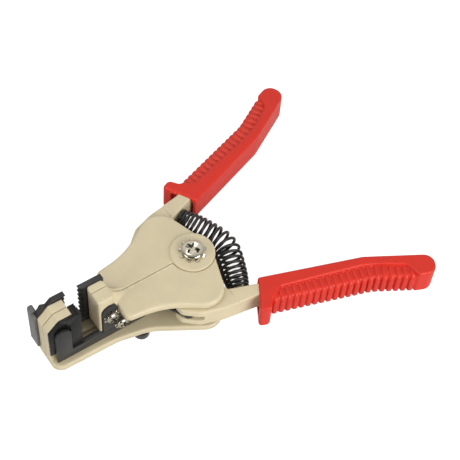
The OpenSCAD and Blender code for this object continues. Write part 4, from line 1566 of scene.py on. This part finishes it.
@dataclass
class RailFasteners:
    """The screws and star washers on a side rail."""

    shop: Workshop
    side: Side
    places: tuple[Point2, ...]
    face: float = 6.6
    washer: StarWasher = StarWasher(r=3.7, bore=1.45, t=0.5, teeth=9)
    screw: CrossScrew = CrossScrew(head_r=2.85, head_h=1.8, cross_l=4.1, cross_w=1.3, depth=1.3)
    first_radians: float = 0.4
    shank_r: float = 1.35
    shank_span: Point2 = (3.3, 7.2)

    def build(self) -> None:
        """Builds and dresses the screws and washers."""
        s = self.side
        many = "s" if len(self.places) > 1 else ""
        outwards = Matrix.Rotation(math.radians(-90 * s.value), 4, "X")
        washers, screws = [], []
        for k, (x, z) in enumerate(self.places):
            out = outwards @ Matrix.Rotation(self.first_radians + k, 4, "Z")
            seat = Matrix.Translation((x, self.face * s.value, z))
            washer = self.washer.build("washer", self.shop.material(NICKEL))
            washers.append(placed(washer, seat @ out))
            seat = Matrix.Translation((x, (self.face + self.washer.t) * s.value, z))
            screws.append(placed(self.screw.head("screw_head"), seat @ out))
            screws.append(side_prism("shank", s, disc_outline(x, z, self.shank_r, steps=24), self.shank_span))
        for word, parts, sharp in (("washer", washers, 30), ("screw", screws, 38)):
            node = f"{s.word}_rail_{word}{many}"
            piece = joined(f"{node}_look", parts)
            shade_by_angle(piece, degrees=sharp)
            self.shop.fit(piece, s.half, NICKEL, node)


@dataclass
class SteelParts:
    """Rails, blades, pads, plates and studs taken from the CAD with rounded edges."""

    shop: Workshop
    rounding: float = 0.18
    pieces: tuple[tuple[str, str, Finish], ...] = (
        ("gripper_rail", "gripper_half", BLACK),
        ("cutter_rail", "cutter_half", BLACK),
        ("cutter_jaw_blade", "cutter_half", BLACK),
        ("cutter_nose_blade", "cutter_slide", BLACK),
        # the nose pad wears the darker copy of black steel as painted shade
        ("gripper_nose_pad", "gripper_slide", BLACK_STEEL_PAINTED_SHADE),
        # the wire stop wears grey painted light on its black plastic
        ("wire_stop", "cutter_slide", STOP_PAINTED_LIGHT),
        ("gripper_drive_plate", "gripper_slide", BLACK),
        ("cutter_drive_plate", "cutter_slide", BLACK),
        ("gripper_drive_stud", "gripper_slide", BLACK),
        ("cutter_drive_stud", "cutter_slide", BLACK),
        ("gripper_rest_knob", "gripper_slide", GLOSS_BLACK),
        ("cutter_rest_knob", "cutter_slide", GLOSS_BLACK),
    )
    kept: tuple[str, ...] = (
        "cutter_blade_screws", "nose_blade_screws", "gripper_drive_pin", "cutter_drive_pin",
    )

    def build(self) -> None:
        """Builds and dresses the steel parts."""
        for node, body, finish in self.pieces:
            piece = softened(node, self.rounding)
            if node == "gripper_nose_pad":
                piece = joined(f"{node}_look", [piece, self._pad_lip()])
                shade_by_angle(piece, degrees=40)
            self.shop.fit(piece, body, finish, node)
        for node in self.kept:
            self.shop.keep(node, NICKEL)

    @staticmethod
    def _pad_lip() -> Object:
        """The raised lip at the top of the nose pad."""
        outline = [(57.7, 28.5), (59.0, 28.5), (59.5, 30.3), (59.1, 31.1), (58.3, 31.4), (57.6, 31.0)]
        return side_prism("lip", Side.GRIPPER, outline, (2.6, 5.7))


# Studio
@dataclass(frozen=True)
class Lamp:
    """A soft area lamp aimed at the tool; place and size in metres, power in watts."""

    name: str
    place: Point3
    size: float
    power: float

    def build(self) -> None:
        """Hangs the lamp."""
        data = bpy.data.lights.new(self.name, "AREA")
        data.size = self.size
        data.energy = self.power
        lamp = add_object(self.name, data)
        lamp.location = self.place
        lamp.rotation_euler = (-Vector(self.place)).to_track_quat("-Z", "Y").to_euler()


@dataclass
class Studio:
    """The floor, the lights and the camera."""

    floor_z: float = -3.5
    floor_half: float = 3000.0
    floor_grey: float = 0.6
    floor_grey_in_gloss: float = 0.55
    glow: float = 0.72
    glow_in_gloss: float = 0.15
    sky_span: Point2 = (-0.1, 0.9)
    soft_levels: Point2 = (0.54, 0.6)
    gloss_way: Point3 = (-0.5, -0.6, 0.62)
    gloss_levels: Point2 = (0.02, 1.1)
    lamps: tuple[Lamp, ...] = (
        Lamp("key", (0.1, -0.2, 0.75), size=0.3, power=0.85),
        Lamp("fill", (-0.15, 0.68, 0.28), size=0.5, power=4.4),
        Lamp("front", (0.75, 0.0, 0.3), size=0.4, power=1.9),
    )
    camera_place: Point3 = (168.972, 235.799, 442.925)
    camera_degrees: Point3 = (35.623, -2.989, 145.551)
    sensor_mm: float = 36.0
    focal_px: float = 1200.0
    image_px: float = 460.0

    def build(self) -> None:
        """Builds the floor, the world, the lamps and the camera."""
        self._floor()
        self._world()
        for lamp in self.lamps:
            lamp.build()
        self._camera()

    def _floor(self) -> None:
        """A pale floor that shows white and keeps a soft shadow."""
        w, z = self.floor_half * MM, self.floor_z * MM
        mesh = bpy.data.meshes.new("floor")
        mesh.from_pydata([(-w, -w, z), (w, -w, z), (w, w, z), (-w, w, z)], [], [(0, 1, 2, 3)])
        floor = add_object("floor", mesh)
        made = bpy.data.materials.new("floor_white")
        made.use_nodes = True
        tree = made.node_tree
        shader = set_inputs(tree.nodes["Principled BSDF"], {"Roughness": 0.9, "Specular IOR Level": 0.0})
        path = tree.nodes.new("ShaderNodeLightPath")
        greys = {"A": (*[self.floor_grey] * 3, 1), "B": (*[self.floor_grey_in_gloss] * 3, 1)}
        tone = color_mix(tree, greys)
        emission = set_inputs(tree.nodes.new("ShaderNodeEmission"), {"Color": (1, 1, 1, 1)})
        seen = set_inputs(tree.nodes.new("ShaderNodeMath"), {1: self.glow})
        seen.operation = "MULTIPLY"
        shine = set_inputs(tree.nodes.new("ShaderNodeMath"), {1: self.glow_in_gloss})
        shine.operation = "MULTIPLY_ADD"
        both = tree.nodes.new("ShaderNodeAddShader")
        link(
            tree,
            (path, "Is Glossy Ray", tone, "Factor"),
            (tone, "Result", shader, "Base Color"),
            (path, "Is Camera Ray", seen, 0),
            (path, "Is Glossy Ray", shine, 0),
            (seen, 0, shine, 2),
            (shine, 0, emission, "Strength"),
            (shader, "BSDF", both, 0),
            (emission, "Emission", both, 1),
            (both, "Shader", tree.nodes["Material Output"], "Surface"),
        )
        floor.data.materials.append(made)
        floor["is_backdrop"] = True

    def _world(self) -> None:
        """A soft grey surround that the camera sees as white."""
        world = bpy.data.worlds.new("studio")
        bpy.context.scene.world = world
        world.use_nodes = True
        tree = world.node_tree
        back = set_inputs(tree.nodes["Background"], {"Color": (1, 1, 1, 1)})
        path = tree.nodes.new("ShaderNodeLightPath")
        soft = self._sky(tree, (0.0, 0.0, 1.0), self.soft_levels)
        gloss = self._sky(tree, self.gloss_way, self.gloss_levels)
        lit = tree.nodes.new("ShaderNodeMix")
        level = set_inputs(tree.nodes.new("ShaderNodeMix"), {"B": 1.0})
        link(
            tree,
            (path, "Is Glossy Ray", lit, "Factor"),
            (soft, "Result", lit, "A"),
            (gloss, "Result", lit, "B"),
            (path, "Is Camera Ray", level, "Factor"),
            (lit, "Result", level, "A"),
            (level, "Result", back, "Strength"),
        )

    def _sky(self, tree: NodeTree, axis: Point3, levels: Point2) -> Node:
        """Adds a level that grows along an axis of the surround.

        Args:
            tree: the world's node tree.
            axis: the direction in which the level grows.
            levels: the level at both ends of the sky's span.

        Returns:
            The node that puts out the level.
        """
        coord = tree.nodes.new("ShaderNodeTexCoord")
        along = set_inputs(tree.nodes.new("ShaderNodeVectorMath"), {1: axis})
        along.operation = "DOT_PRODUCT"
        ends = zip(("From Min", "From Max", "To Min", "To Max"), (*self.sky_span, *levels))
        spread = set_inputs(tree.nodes.new("ShaderNodeMapRange"), dict(ends))
        link(tree, (coord, "Generated", along, 0), (along, "Value", spread, "Value"))
        return spread

    def _camera(self) -> None:
        """The camera of the photograph."""
        data = bpy.data.cameras.new("camera")
        data.sensor_width = self.sensor_mm
        data.lens = self.focal_px / self.image_px * self.sensor_mm
        data.clip_start = 0.01
        camera = add_object("camera", data)
        camera.location = Vector(self.camera_place) * MM
        camera.rotation_euler = [math.radians(degrees) for degrees in self.camera_degrees]
        bpy.context.scene.camera = camera


def plain(value: Iterable | float) -> list | float:
    """Turns vectors into lists of numbers, however deep they lie.

    Args:
        value: a number, or anything that holds numbers.

    Returns:
        A float, or a list.
    """
    try:
        return [plain(item) for item in value]
    except TypeError:
        return float(value)


def main() -> None:
    """Builds every piece and the studio, and works out the bounds of the CAD and of the built tool."""
    logging.basicConfig(level=logging.INFO, format="%(message)s")
    bpy.context.scene.view_settings.view_transform = "Standard"
    shop = Workshop()
    for side in Side:
        CoverHalf(shop, side).build()
        NoseFrame(shop, side).build()
        HandleArm(shop, side).build()
        RibbedGrip(shop, side).build()
    lug_screw, rail_screw = (44.3, 17.75), (39.4, 9.49)
    RailFasteners(shop, Side.GRIPPER, (lug_screw, rail_screw)).build()
    RailFasteners(shop, Side.CUTTER, (rail_screw,)).build()
    PivotFasteners(shop).build()
    SteelParts(shop).build()
    MainSpring(shop).build()
    ClosingSpring(shop).build()
    Studio().build()
    {"cad": plain(CAD_BOX), "visual": plain(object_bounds())}


if __name__ == "__main__":
    main()
